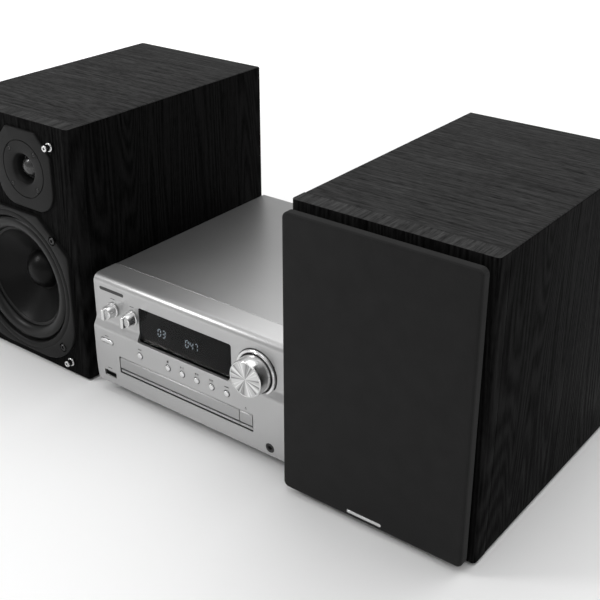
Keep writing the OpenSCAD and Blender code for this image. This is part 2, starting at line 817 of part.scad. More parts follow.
module grille_cloth() {
    h = grille_z[1] - grille_z[0];
    front = -grille_gap - grille_t;
    color([0.1, 0.1, 0.105]) translate([0, 0, (grille_z[0] + grille_z[1]) / 2]) difference() {
        slab(front, -grille_gap - 0.5) round_rect(grille_w, h, 4.8);
        slab(front + skin, 0) round_rect(grille_w - 2 * skin, h - 2 * skin, 4);
    }
}

// ---------------------------------------------------------------- drawing

chassis();
top_cover();
rear_panel();
front_panel();
front_rim();
front_sill();
display_window();
display_module();
main_board();
power_supply();
loader_frame();
disc_tray();
tray_door();
disc_spindle();
laser_sled();
loading_gear();
volume_knob();
bass_knob();
treble_knob();
power_button();
selector_button();
stop_button();
play_button();
skip_back_button();
skip_ahead_button();
usb_button();
eject_button();
usb_port();
headphone_jack();
rear_sockets();
speaker_terminals();
unit_feet();

on_left() cabinet();  // left_cabinet
on_left() baffle();  // left_baffle
on_left() woofer_frame();  // left_woofer_frame
on_left() woofer_magnet();  // left_woofer_magnet
on_left() woofer_suspension();  // left_woofer_suspension
on_left() woofer_cone();  // left_woofer_cone
on_left() tweeter_plate();  // left_tweeter_plate
on_left() tweeter_dome();  // left_tweeter_dome
on_left() super_tweeter();  // left_super_tweeter
on_left() grille_studs();  // left_grille_studs
on_left() port_tube();  // left_port_tube
on_left() terminal_cup();  // left_terminal_cup
on_left() terminal_sockets();  // left_terminal_sockets
on_left() pads();  // left_pads

on_right() cabinet();  // right_cabinet
on_right() baffle();  // right_baffle
on_right() woofer_frame();  // right_woofer_frame
on_right() woofer_magnet();  // right_woofer_magnet
on_right() woofer_suspension();  // right_woofer_suspension
on_right() woofer_cone();  // right_woofer_cone
on_right() tweeter_plate();  // right_tweeter_plate
on_right() tweeter_dome();  // right_tweeter_dome
on_right() super_tweeter();  // right_super_tweeter
on_right() grille_studs();  // right_grille_studs
on_right() port_tube();  // right_port_tube
on_right() terminal_cup();  // right_terminal_cup
on_right() terminal_sockets();  // right_terminal_sockets
on_right() pads();  // right_pads
on_right() grille_frame();
on_right() grille_cloth();
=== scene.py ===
"""Looks of a compact disc receiver between two shelf speakers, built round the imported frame.

Lengths are in millimetres in a box's own corner or middle, and become metres when a piece is placed.
Shapes are closed skins through rows of points, worked out as whole arrays.
"""
import json
import math

import bmesh
import bpy
import numpy as np
from mathutils import Euler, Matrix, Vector


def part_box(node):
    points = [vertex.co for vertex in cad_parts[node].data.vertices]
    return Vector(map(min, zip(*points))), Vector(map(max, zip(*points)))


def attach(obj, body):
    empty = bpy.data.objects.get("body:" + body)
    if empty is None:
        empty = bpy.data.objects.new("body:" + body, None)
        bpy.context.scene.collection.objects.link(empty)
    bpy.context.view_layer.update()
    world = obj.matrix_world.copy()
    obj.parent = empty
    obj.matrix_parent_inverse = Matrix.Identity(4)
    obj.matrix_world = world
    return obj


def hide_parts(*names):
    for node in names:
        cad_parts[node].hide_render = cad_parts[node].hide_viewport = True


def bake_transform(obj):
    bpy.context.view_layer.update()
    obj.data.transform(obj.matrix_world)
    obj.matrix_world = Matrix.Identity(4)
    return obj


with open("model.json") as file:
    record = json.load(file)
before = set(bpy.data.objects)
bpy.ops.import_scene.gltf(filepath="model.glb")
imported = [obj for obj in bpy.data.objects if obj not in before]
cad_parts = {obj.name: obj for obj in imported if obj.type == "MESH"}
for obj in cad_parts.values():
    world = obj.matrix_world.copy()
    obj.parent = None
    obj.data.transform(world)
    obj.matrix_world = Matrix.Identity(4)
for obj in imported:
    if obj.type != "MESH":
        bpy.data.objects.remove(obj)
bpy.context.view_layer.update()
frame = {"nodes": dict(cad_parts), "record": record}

MM = 0.001
SIDES = {"left": 1.0, "right": -1.0}
SEGMENTS = 96


# ------------------------------------------------------------------ places

def placed(x, y, flip=1.0):
    """Takes millimetres from (x, y) on the floor to metres in the frame; flip -1 mirrors left and right."""
    origin = np.array([x, y, 0.0])
    scale = np.array([flip, 1.0, 1.0]) * MM
    return lambda points: origin + np.asarray(points, float) * scale


def span(node, place_x=0.0, place_y=0.0, flip=1.0):
    """Low and high corners of a CAD node, in millimetres from a place."""
    low, high = (np.array(corner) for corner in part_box(node))
    ends = (np.stack([low, high]) - [place_x, place_y, 0.0]) / MM * [flip, 1.0, 1.0]
    return ends.min(0), ends.max(0)


FRONT_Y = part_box("left_baffle")[0].y
UNIT_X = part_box("top_cover")[0].x
unit = placed(UNIT_X, FRONT_Y)


def in_unit(node):
    """Box of a receiver node from the receiver's front left corner."""
    return span(node, UNIT_X, FRONT_Y)


# ------------------------------------------------------------------ outlines

def arc(x, z, r, start, end, steps=8):
    """Points of a circle's arc about (x, z), from one angle in degrees to another."""
    a = np.radians(np.linspace(start, end, steps + 1))
    return np.stack([x + r * np.cos(a), z + r * np.sin(a)], 1)


def rounded(corners, radii, closed=True, steps=5):
    """A line of corners with each one turned into an arc that meets both its edges.

    At a corner with unit directions u and v to its neighbours and the angle t between them, the arc starts
    r / tan(t / 2) along u, ends as far along v, and its centre lies r / sin(t / 2) along their bisector.
    """
    corners = np.asarray(corners, float)
    radii = np.broadcast_to(np.asarray(radii, float), len(corners))
    points = []
    for i, (p, r) in enumerate(zip(corners, radii)):
        if not closed and i in (0, len(corners) - 1) or r <= 0:
            points.append(p[None])
            continue
        u, v = corners[i - 1] - p, corners[(i + 1) % len(corners)] - p
        long_u, long_v = np.linalg.norm(u), np.linalg.norm(v)
        u, v = u / long_u, v / long_v
        half = math.acos(np.clip(u @ v, -1, 1)) / 2
        if half > math.radians(89):
            points.append(p[None])
            continue
        along = min(r / math.tan(half), 0.49 * long_u, 0.49 * long_v)
        r = along * math.tan(half)
        centre = p + (u + v) / np.linalg.norm(u + v) * r / math.sin(half)
        first, last = p + u * along - centre, p + v * along - centre
        sweep = math.pi - 2 * half
        t = np.linspace(0, 1, steps + 1)[:, None]
        points.append(centre + (np.sin((1 - t) * sweep) * first + np.sin(t * sweep) * last) / math.sin(sweep))
    return np.concatenate(points)


def round_rect(x, z, w, h, r, steps=6):
    """Anticlockwise outline of a rectangle about (x, z) with quarter-circle corners."""
    left, right, foot, top = x - w / 2, x + w / 2, z - h / 2, z + h / 2
    corners = np.array([[left, foot], [right, foot], [right, top], [left, top]])
    return rounded(corners, r, steps=steps)


def circle(x, z, r, steps=SEGMENTS):
    """Anticlockwise circle about (x, z), its first point not repeated."""
    return arc(x, z, r, 0, 360, steps)[:-1]


def inset(outline, d):
    """The closed outline moved inwards by d: a point slides by 2 d m / |m|^2, m the sum of its edges' normals."""
    def normals(e):
        e = np.stack([-e[:, 1], e[:, 0]], 1)
        return e / np.maximum(np.linalg.norm(e, axis=1), 1e-9)[:, None]
    m = normals(outline - np.roll(outline, 1, 0)) + normals(np.roll(outline, -1, 0) - outline)
    return outline + d * 2 * m / (m ** 2).sum(1)[:, None]


def by_angle(outline, x, z, angles):
    """Where rays from (x, z) cross a star-shaped outline: its radius is interpolated over angle."""
    closed = np.concatenate([outline, outline[:1]])
    t = np.linspace(0, 1, 60)[:, None, None]
    dense = (closed[:-1] * (1 - t) + closed[1:] * t).transpose(1, 0, 2).reshape(-1, 2) - [x, z]
    a, r = np.arctan2(dense[:, 1], dense[:, 0]), np.hypot(dense[:, 0], dense[:, 1])
    order = np.argsort(a)
    found = np.interp(angles, a[order], r[order], period=2 * math.pi)
    return np.stack([x + found * np.cos(angles), z + found * np.sin(angles)], 1)


def edge(y_back, y_front, r, steps=4):
    """Rows of (inset, y) from a plate's back to its front, the last ones a quarter circle of radius r."""
    turn = np.sign(y_back - y_front)
    a = np.radians(np.linspace(0, 90, steps + 1))
    quarter = np.stack([r * (1 - np.cos(a)), y_front + turn * r * (1 - np.sin(a))], 1)
    return np.concatenate([[[0.0, y_back]], quarter])


# ------------------------------------------------------------------ skins

def at_y(outline, y):
    """A flat outline in x and z as points at depth y."""
    return np.stack([outline[:, 0], np.full(len(outline), float(y)), outline[:, 1]], 1)


def at_x(outline, x):
    """A flat outline in y and z as points at the distance x along the front."""
    return np.stack([np.full(len(outline), float(x)), outline[:, 0], outline[:, 1]], 1)


def at_z(outline, z):
    """A flat outline in x and y as points at height z."""
    return np.stack([outline[:, 0], outline[:, 1], np.full(len(outline), float(z))], 1)


def skin(loops, caps=True, ring=False):
    """Points and faces of the skin through equal closed loops; caps close it, ring joins last to first."""
    loops = np.asarray(loops, float)
    k, n = loops.shape[:2]
    index = np.arange(k * n).reshape(k, n)
    rows = np.concatenate([index, index[:1]]) if ring else index
    a, b = rows[:-1], rows[1:]
    faces = np.stack([a, np.roll(a, -1, 1), np.roll(b, -1, 1), b], -1).reshape(-1, 4).tolist()
    if caps and not ring:
        faces += [index[0][::-1].tolist(), index[-1].tolist()]
    return loops.reshape(-1, 3), faces


def plate(outline, section):
    """Skin of a flat outline carried along a section of (inset, y) rows."""
    return skin([at_y(inset(outline, d), y) for d, y in section])


def turned(x, z, profile, ring=False, steps=SEGMENTS):
    """Surface of revolution about y through (x, z): radius times cosine and sine, for each (radius, y) row."""
    profile = np.asarray(profile, float)
    a = np.linspace(0, 2 * math.pi, steps, endpoint=False)
    r, y = profile[:, :1], profile[:, 1:]
    return skin(np.stack([x + r * np.cos(a), y + 0 * a, z + r * np.sin(a)], -1), caps=False, ring=ring)


def upright(x, y, profile, steps=SEGMENTS):
    """Surface of revolution about the vertical through (x, y), for each (radius, z) row."""
    profile = np.asarray(profile, float)
    a = np.linspace(0, 2 * math.pi, steps, endpoint=False)
    r, z = profile[:, :1], profile[:, 1:]
    return skin(np.stack([x + r * np.cos(a), y + r * np.sin(a), z + 0 * a], -1), caps=False)


def bar_between(outline, x0, x1, r, steps=3):
    """Skin of an outline in y and z carried along x from x0 to x1, with both ends rounded by r."""
    a = np.radians(np.linspace(0, 90, steps + 1))
    ends = np.stack([r * (1 - np.sin(a)), r * (1 - np.cos(a))], 1)
    first = [at_x(inset(outline, d), x0 + e) for d, e in ends]
    last = [at_x(inset(outline, d), x1 - e) for d, e in ends[::-1]]
    return skin(first + last)


def block(low, high, r=0.0):
    """Skin of a box from corner to corner, its upright edges and ends rounded by r."""
    (x0, y0, z0), (x1, y1, z1) = low, high
    if r <= 0:
        outline = np.array([[x0, y0], [x1, y0], [x1, y1], [x0, y1]], float)
        return skin([at_z(outline, z0), at_z(outline, z1)])
    outline = round_rect((x0 + x1) / 2, (y0 + y1) / 2, x1 - x0, y1 - y0, r, 4)
    rows = np.concatenate([edge(z1, z0, r)[:0:-1], edge(z0, z1, r)[1:]])
    return skin([at_z(inset(outline, d), z) for d, z in rows])


def together(*parts):
    """Several skins as one list of points and faces."""
    points, faces, start = [], [], 0
    for p, f in parts:
        points.append(p)
        faces += [[i + start for i in face] for face in f]
        start += len(p)
    return np.concatenate(points), faces


# ------------------------------------------------------------------ pieces

def shaded(mesh, angle=30):
    """Smooth shading with edges kept sharp past an angle."""
    mesh.shade_smooth()
    mesh.set_sharp_from_angle(angle=math.radians(angle))


def piece(name, part, place, angle=30):
    """A Blender object from a skin: points that fall together are merged, and its faces turned outwards."""
    points, faces = part
    mesh = bpy.data.meshes.new(name)
    mesh.from_pydata(place(points).tolist(), [], faces)
    work = bmesh.new()
    work.from_mesh(mesh)
    bmesh.ops.remove_doubles(work, verts=work.verts, dist=2e-6)
    bmesh.ops.dissolve_degenerate(work, edges=work.edges, dist=1e-7)
    bmesh.ops.recalc_face_normals(work, faces=work.faces)
    work.to_mesh(mesh)
    work.free()
    shaded(mesh, angle)
    made = bpy.data.objects.new(name, mesh)
    bpy.context.scene.collection.objects.link(made)
    return made


def cut(made, part, place, angle=30):
    """Takes a skin's inside out of a piece."""
    tool = piece("cutter", part, place)
    change = made.modifiers.new("cut", "BOOLEAN")
    change.operation, change.solver, change.object = "DIFFERENCE", "EXACT", tool
    bpy.context.view_layer.update()
    shape = bpy.data.meshes.new_from_object(made.evaluated_get(bpy.context.evaluated_depsgraph_get()))
    made.modifiers.clear()
    old, made.data = made.data, shape
    bpy.data.meshes.remove(old)
    bpy.data.objects.remove(tool)
    shape.name = made.name
    shaded(shape, angle)
    return made


def eased(made, width, segments=2, angle=40):
    """Small rounding on every edge that turns by more than an angle."""
    change = made.modifiers.new("eased", "BEVEL")
    change.width, change.segments, change.limit_method = width * MM, segments, "ANGLE"
    change.angle_limit, change.harden_normals = math.radians(angle), True
    return made


def dress(made, slot, body, *nodes, material=None):
    """Gives a piece its finish, its body and the CAD nodes that it stands for."""
    made.data.materials.clear()
    made.data.materials.append(material or FINISH[slot])
    if body:
        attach(made, body)
    if nodes:
        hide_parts(*nodes)
    return made


# ------------------------------------------------------------------ materials

class Finish:
    """A material's nodes: a Principled shader and short calls for what feeds it."""

    def __init__(self, name, color, roughness, metallic=0.0, **sockets):
        self.material = bpy.data.materials.new(name)
        self.material.use_nodes = True
        self.tree = self.material.node_tree
        self.tree.nodes.clear()
        out = self.add("ShaderNodeOutputMaterial")
        self.shader = self.add("ShaderNodeBsdfPrincipled")
        self.tree.links.new(self.shader.outputs[0], out.inputs[0])
        self.shader.inputs["Base Color"].default_value = (*color, 1)
        self.shader.inputs["Roughness"].default_value = roughness
        self.shader.inputs["Metallic"].default_value = metallic
        for key, value in sockets.items():
            self.shader.inputs[key.replace("_", " ")].default_value = value

    def add(self, kind, **settings):
        node = self.tree.nodes.new(kind)
        for key, value in settings.items():
            setattr(node, key, value)
        return node

    def link(self, source, target):
        self.tree.links.new(source, target)

    def place(self, scale=(1, 1, 1), at=(0, 0, 0), source="Object"):
        """Object coordinates in metres, moved so that at is the middle, then stretched."""
        where = self.add("ShaderNodeTexCoord")
        mapping = self.add("ShaderNodeMapping", vector_type="POINT")
        mapping.inputs["Scale"].default_value = scale
        mapping.inputs["Location"].default_value = [-a * s for a, s in zip(at, scale)]
        self.link(where.outputs[source], mapping.inputs["Vector"])
        return mapping.outputs[0]

    def noise(self, where, scale, detail=2.0, roughness=0.5, distortion=0.0):
        node = self.add("ShaderNodeTexNoise")
        settings = {"Scale": scale, "Detail": detail, "Roughness": roughness, "Distortion": distortion}
        for key, value in settings.items():
            node.inputs[key].default_value = value
        self.link(where, node.inputs["Vector"])
        return node.outputs["Fac"]

    def wave(self, where, scale, kind="BANDS", direction="X", distortion=0.0):
        node = self.add("ShaderNodeTexWave", wave_type=kind)
        if kind == "BANDS":
            node.bands_direction = direction
        else:
            node.rings_direction = direction
        node.inputs["Scale"].default_value = scale
        node.inputs["Distortion"].default_value = distortion
        self.link(where, node.inputs["Vector"])
        return node.outputs["Fac"]

    def remap(self, value, low, high, start=0.0, end=1.0):
        """The value's stretch from start to end, spread over low to high."""
        node = self.add("ShaderNodeMapRange")
        for key, number in (("From Min", start), ("From Max", end), ("To Min", low), ("To Max", high)):
            node.inputs[key].default_value = number
        self.link(value, node.inputs["Value"])
        return node.outputs[0]

    def math(self, operation, a, b=None):
        node = self.add("ShaderNodeMath", operation=operation)
        for socket, value in zip(node.inputs, (a, b)):
            if isinstance(value, (int, float)):
                socket.default_value = value
            elif value is not None:
                self.link(value, socket)
        return node.outputs[0]

    def tint(self, value, dark, light, start=0.0, end=1.0):
        """Base colour between two tones, as the value goes from start to end."""
        ramp = self.add("ShaderNodeValToRGB")
        low, high = ramp.color_ramp.elements
        low.position, high.position = start, end
        low.color, high.color = (*dark, 1), (*light, 1)
        self.link(value, ramp.inputs[0])
        self.link(ramp.outputs[0], self.shader.inputs["Base Color"])
        return self

    def gloss(self, value, low, high, start=0.0, end=1.0):
        self.link(self.remap(value, low, high, start, end), self.shader.inputs["Roughness"])
        return self

    def relief(self, height, depth, strength=1.0):
        """Bump whose full height is depth millimetres."""
        node = self.add("ShaderNodeBump")
        node.inputs["Strength"].default_value = strength
        node.inputs["Distance"].default_value = depth * MM
        self.link(height, node.inputs["Height"])
        self.link(node.outputs[0], self.shader.inputs["Normal"])
        return self


def grey(value, warmth=0.0):
    """A neutral tone, a little warmer or cooler."""
    return (value * (1 + warmth), value, value * (1 - warmth))


def metal_finish(name, tone, roughness, grain=1400, stretch=(1, 1, 1), depth=0.01, metallic=1.0, vary=0.06):
    """Sheet or cast metal: fine grain in its gloss and relief, and slow changes of tone."""
    f = Finish(name, grey(tone), roughness, metallic)
    fine = f.noise(f.place(stretch), grain, 2)
    slow = f.noise(f.place(), 18, 2)
    f.tint(slow, grey(tone * (1 - vary)), grey(tone * (1 + vary)), 0.3, 0.7)
    f.gloss(fine, roughness * 0.85, roughness * 1.15, 0.3, 0.7)
    return f.relief(fine, depth).material


def moulded_finish(name, tone, roughness, depth=0.03, grain=900, color=None, vary=0.12, shine=0.5):
    """Moulded plastic or rubber: a fine spark-eroded grain and slightly uneven gloss."""
    color = color or grey(tone)
    f = Finish(name, color, roughness, 0.0, Specular_IOR_Level=shine)
    fine = f.noise(f.place(), grain, 3)
    slow = f.noise(f.place(), 25, 2)
    f.tint(slow, [c * (1 - vary) for c in color], [c * (1 + vary) for c in color], 0.3, 0.7)
    f.gloss(fine, roughness * 0.9, min(1.0, roughness * 1.12), 0.3, 0.7)
    return f.relief(fine, depth).material


def vinyl_finish(name, tone, roughness, top_runs):
    """Black wood-grain vinyl, its grain upright on walls and along x or y on level faces.

    The figure is the sine of a stretched noise, whose level lines make long loops and arches as in sawn
    ash; thinner streaks and pores of two finer noises lie over it. Level faces are drawn a little paler and
    faces that look up much paler: painted light, standing in for the sheen of the lamp on the tops.
    """
    f = Finish(name, grey(tone), roughness, 0.0, Specular_IOR_Level=0.004)
    where, facing = f.add("ShaderNodeSeparateXYZ"), f.add("ShaderNodeSeparateXYZ")
    f.link(f.place(), where.inputs[0])
    f.link(f.add("ShaderNodeTexCoord").outputs["Normal"], facing.inputs[0])
    level = f.math("GREATER_THAN", f.math("ABSOLUTE", facing.outputs["Z"]), 0.6)
    beside = f.math("GREATER_THAN", f.math("ABSOLUTE", facing.outputs["X"]), 0.6)
    x, y, z = where.outputs

    def choose(factor, if_no, if_yes):
        mix = f.add("ShaderNodeMix", data_type="FLOAT")
        for socket, value in zip((0, 2, 3), (factor, if_no, if_yes)):
            f.link(value, mix.inputs[socket])
        return mix.outputs[0]

    across = choose(level, choose(beside, x, y), y if top_runs == "x" else x)
    along = choose(level, z, x if top_runs == "x" else y)
    grain = f.add("ShaderNodeCombineXYZ")
    f.link(across, grain.inputs[0])
    f.link(along, grain.inputs[1])
    f.link(f.math("ADD", f.math("MULTIPLY", level, 3.0), beside), grain.inputs[2])

    def run(scale_across, scale_along, detail, distortion):
        stretch = f.add("ShaderNodeVectorMath", operation="MULTIPLY")
        f.link(grain.outputs[0], stretch.inputs[0])
        stretch.inputs[1].default_value = (scale_across, scale_along, 1)
        return f.noise(stretch.outputs[0], 1.0, detail, 0.55, distortion)

    rings = f.math("SINE", f.math("MULTIPLY", run(17, 1.3, 1, 0.2), 260.0))
    figure = f.remap(rings, 0.0, 1.0, -1.0, 1.0)
    figured = f.math("SUBTRACT", 0.16, f.math("MULTIPLY", level, 0.11))
    mixed = f.math("ADD", f.math("MULTIPLY", figure, figured), f.math("MULTIPLY", run(420, 14, 3, 0.5), 0.42))
    # painted light: level faces are drawn a little paler
    mixed = f.math("ADD", mixed, f.math("MULTIPLY", level, 0.055))
    mixed = f.math("ADD", mixed, f.math("MULTIPLY", run(1100, 120, 3, 0.4), 0.42))
    f.tint(mixed, grey(tone * 0.3), grey(tone * 2.1), 0.34, 0.68)
    # painted light: faces that look up get a 5.4 times paler base colour, standing in for the lamp's sheen
    painted_top_light = f.math("ADD", f.math("MULTIPLY", f.math("GREATER_THAN", facing.outputs["Z"], 0.6), 4.4), 1.0)
    shade = f.add("ShaderNodeVectorMath", operation="SCALE")
    f.link(f.shader.inputs["Base Color"].links[0].from_socket, shade.inputs[0])
    f.link(painted_top_light, shade.inputs["Scale"])
    f.link(shade.outputs[0], f.shader.inputs["Base Color"])
    f.gloss(mixed, roughness * 1.25, roughness * 0.8, 0.36, 0.64)
    return f.relief(mixed, 0.2).material


def spun_finish(name, tone, roughness, centre):
    """Aluminium turned on a lathe: fine rings about the axis at centre, and a sheen in opposite wedges.

    With c and s the cosine and sine of the angle about the axis, the wedges are a noise of (c s, c c), so they
    are the same on both sides of the axis. They are painted light: a reflection painted into the base colour,
    over the real lathe rings and anisotropic gloss.
    """
    f = Finish(name, grey(tone), roughness, 1.0, Anisotropic=0.92)
    tangent = f.add("ShaderNodeTangent", direction_type="UV_MAP", uv_map="turn")
    f.link(tangent.outputs[0], f.shader.inputs["Tangent"])
    where = f.place((1, 0, 1), centre)
    way, part = f.add("ShaderNodeVectorMath", operation="NORMALIZE"), f.add("ShaderNodeSeparateXYZ")
    f.link(where, way.inputs[0])
    f.link(way.outputs[0], part.inputs[0])
    wedge = f.add("ShaderNodeCombineXYZ")
    f.link(f.math("MULTIPLY", part.outputs["X"], part.outputs["Z"]), wedge.inputs[0])
    f.link(f.math("MULTIPLY", part.outputs["X"], part.outputs["X"]), wedge.inputs[1])
    painted_sheen = f.noise(wedge.outputs[0], 3.4, 2, 0.6)
    # painted reflection: light and dark wedges in the base colour
    f.tint(painted_sheen, grey(tone * 0.3), grey(tone * 1.25), 0.38, 0.62)
    rings = f.wave(where, 900, "RINGS", "Y")
    fine = f.noise(where, 3000, 1)
    f.gloss(fine, roughness * 0.8, roughness * 1.2, 0.3, 0.7)
    return f.relief(rings, 0.006).material


def woven_finish(name, tone, roughness, pitch, depth=0.12):
    """Plain weave: threads up and threads across, each the square of a sine, with uneven dye."""
    f = Finish(name, grey(tone), roughness, 0.0,
               Specular_IOR_Level=0.1, Sheen_Weight=0.04, Sheen_Roughness=0.5)
    up = f.wave(f.place(), 1 / (pitch * MM) / math.pi, "BANDS", "X", 0.3)
    across = f.wave(f.place(), 1 / (pitch * MM) / math.pi, "BANDS", "Z", 0.3)
    threads = f.math("MULTIPLY", f.math("ADD", up, across), 0.5)
    dye = f.noise(f.place(), 60, 3)
    blend = f.math("ADD", f.math("MULTIPLY", threads, 0.35), f.math("MULTIPLY", dye, 0.65))
    f.tint(blend, grey(tone * 0.8), grey(tone * 1.2), 0.25, 0.75)
    return f.relief(threads, depth).material


def board_finish():
    """Circuit board: solder mask over a faint lattice of tracks."""
    f = Finish("circuit_board", (0.02, 0.16, 0.07), 0.4)
    tracks = f.add("ShaderNodeTexBrick")
    f.link(f.place(), tracks.inputs["Vector"])
    tracks.inputs["Scale"].default_value = 110
    tracks.inputs["Mortar Size"].default_value = 0.06
    f.tint(tracks.outputs["Fac"], (0.015, 0.13, 0.055), (0.04, 0.26, 0.12))
    return f.relief(tracks.outputs["Fac"], 0.05).material


def lens_finish():
    """Smoked acrylic: clear dark plastic with a polished face."""
    f = Finish("display_lens", (0.16, 0.165, 0.17), 0.0, 0.0, Transmission_Weight=1.0, IOR=1.2)
    haze = f.noise(f.place(), 40, 2)
    f.gloss(haze, 0.0, 0.008, 0.3, 0.7)
    return f.material


def lit_finish():
    """Pale blue-white segments that shine by themselves, a little uneven along their length."""
    f = Finish("lit_segments", (0.05, 0.06, 0.06), 0.5)
    f.shader.inputs["Emission Color"].default_value = (0.82, 0.93, 1.0, 1)
    f.shader.inputs["Emission Strength"].default_value = 2.6
    glow = f.noise(f.place(), 300, 1)
    f.tint(glow, (0.5, 0.56, 0.6), (0.7, 0.78, 0.82), 0.3, 0.7)
    return f.material


knob_axis = [(a + b) / 2 for a, b in zip(*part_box("volume_knob"))]
FINISH = {
    "front_silver": metal_finish("front_silver", 0.47, 0.36, 1600, depth=0.012, metallic=0.85, vary=0.02),
    "cover_silver": metal_finish("cover_silver", 0.4, 0.34, 1500, depth=0.012, metallic=0.9, vary=0.02),
    "chassis_steel": metal_finish("chassis_steel", 0.55, 0.4, 800, (1, 6, 1)),
    "rear_black": moulded_finish("rear_black", 0.03, 0.5, 0.04, 1200),
    "display_lens": lens_finish(),
    "display_body": moulded_finish("display_body", 0.006, 0.5, 0.002, 5000, shine=0.1),
    "circuit_board": board_finish(),
    "transformer": metal_finish("transformer", 0.16, 0.5, 300, (1, 1, 8), 0.05, 0.7, 0.15),
    "black_moulding": moulded_finish("black_moulding", 0.02, 0.45, shine=0.25),
    "door_silver": metal_finish("door_silver", 0.38, 0.34, 1600, (0.2, 1, 1), 0.01, 0.85, 0.02),
    "spindle_metal": metal_finish("spindle_metal", 0.6, 0.28, 900),
    "gear_plastic": moulded_finish("gear_plastic", 0.7, 0.4, color=(0.72, 0.7, 0.62), vary=0.04),
    "knob_aluminium": metal_finish("knob_aluminium", 0.72, 0.24, 1500, (1, 8, 1), 0.008, 1.0, 0.02),
    "button_silver": metal_finish("button_silver", 0.72, 0.2, 1200, depth=0.004, vary=0.02),
    "port_metal": metal_finish("port_metal", 0.22, 0.35, 900),
    "rubber_feet": moulded_finish("rubber_feet", 0.018, 0.75, 0.06),
    "wood_vinyl": vinyl_finish("wood_vinyl", 0.0045, 0.42, "x"),
    "baffle_vinyl": vinyl_finish("baffle_vinyl", 0.006, 0.46, "y"),
    "driver_plate": moulded_finish("driver_plate", 0.009, 0.42, 0.03, 1100, shine=0.1),
    "magnet_steel": metal_finish("magnet_steel", 0.12, 0.55, 600, vary=0.1),
    "rubber_surround": moulded_finish("rubber_surround", 0.006, 0.36, 0.02, 700, shine=0.2),
    "cone_paper": moulded_finish("cone_paper", 0.0025, 0.34, 0.01, 500, shine=0.12),
    "dome_silk": moulded_finish("dome_silk", 0.02, 0.25, 0.01, 900, shine=0.6),
    "stud_chrome": metal_finish("stud_chrome", 0.6, 0.08, 900, depth=0.002, vary=0.01),
    "terminal_brass": Finish("terminal_brass", (0.75, 0.56, 0.22), 0.25, 1.0),
    "grille_board": moulded_finish("grille_board", 0.008, 0.7, shine=0.05),
    "grille_fabric": woven_finish("grille_fabric", 0.013, 0.8, 0.9),
}
brass = FINISH["terminal_brass"]
brass.gloss(brass.noise(brass.place(), 500, 2), 0.18, 0.34, 0.3, 0.7)
FINISH["terminal_brass"] = brass.material
SPUN = spun_finish("spun_aluminium", 0.75, 0.34, knob_axis)
LIT = lit_finish()
SCREW = metal_finish("black_screw", 0.05, 0.3, 700)
PRINT = moulded_finish("dark_print", 0.03, 0.5, 0.01)
RED = moulded_finish("red_ring", 0.3, 0.4, color=(0.35, 0.012, 0.012))

for row in frame["record"]["subparts"]:
    for socket in frame["nodes"][row["node"]].material_slots:
        socket.material = FINISH[row["material_slot"]]


# ------------------------------------------------------------------ camera

def camera_at(place, azimuth, elevation, roll, lens, shift):
    """A camera at a place in metres that looks along azimuth and down by elevation, in degrees."""
    data = bpy.data.cameras.new("camera")
    data.lens, data.sensor_width = lens, 36.0
    data.shift_x, data.shift_y = shift
    made = bpy.data.objects.new("camera", data)
    turn = Euler((math.radians(90 - elevation), 0, math.radians(azimuth)), "XYZ").to_matrix()
    made.rotation_euler = (turn @ Euler((0, 0, math.radians(-roll))).to_matrix()).to_euler()
    made.location = place
    data.clip_start, data.clip_end = 0.05, 20
    bpy.context.scene.collection.objects.link(made)
    bpy.context.scene.camera = made


camera_at((0.54296, -0.66064, 0.51539), 37.741, 25.046, 0.132, 64.66, (0.0041, -0.0721))


# ------------------------------------------------------------------ speakers

def spoke_holes(centre, radius, count, start):
    """Places of screws on a circle."""
    a = np.radians(start + 360 * np.arange(count) / count)
    return np.stack([centre[0] + radius * np.cos(a), centre[1] + radius * np.sin(a)], 1)


def socket_screw(x, z, face, r):
    """Round head of a screw with a hexagon socket, standing on depth face."""
    depth, flat = 0.5 * r, 0.45 * r
    profile = [[0, face + 1], [r, face + 1], [r, face - depth * 0.7], [r * 0.85, face - depth],
               [flat, face - depth], [flat, face - depth * 0.1], [0, face - depth * 0.1]]
    return turned(x, z, profile, steps=24)


def cabinet(side, place, low, high):
    """Five vinyl-wrapped boards with rounded rear edges, holes for the port and the terminal cup."""
    wall, back = 12.0, high[1]
    w, h = high[0] - low[0], high[2] - low[2]
    cx, cz = (low[0] + high[0]) / 2, (low[2] + high[2]) / 2
    outer, inner = round_rect(cx, cz, w, h, 1.5), round_rect(cx, cz, w - 2 * wall, h - 2 * wall, 1.0)
    loops = [at_y(inner, back - wall), at_y(inner, low[1])]
    loops += [at_y(inset(outer, 0.4), low[1]), at_y(outer, low[1] + 0.4)]
    loops += [at_y(inset(outer, d), y) for d, y in edge(low[1] + 1, back, 1.2)[1:]]
    made = piece(side + "_cabinet_shell", skin(loops), place)
    port, cup = local(side, "port_tube"), local(side, "terminal_cup")
    px, pz, pr = middle(port)[0], middle(port)[1], (port[1][0] - port[0][0]) / 2
    tools = [turned(px, pz, [[0, back - 20], [pr - 6.2, back - 20], [pr - 6.2, back - 2.5],
                             [pr + 0.2, back - 2.5], [pr + 0.2, back + 5], [0, back + 5]])]
    (ux, uz), size = middle(cup), cup[1] - cup[0]
    hole = round_rect(ux, uz, size[0] - 11, size[2] - 11, 4)
    seat = round_rect(ux, uz, size[0] + 1, size[2] + 1, 5)
    rows = (hole, back - 20), (hole, back - 2.5), (seat, back - 2.5), (seat, back + 5)
    tools.append(skin([at_y(outline, y) for outline, y in rows]))
    cut(made, together(*tools), place)
    return dress(eased(made, 0.25), "wood_vinyl", side + "_speaker", side + "_cabinet")


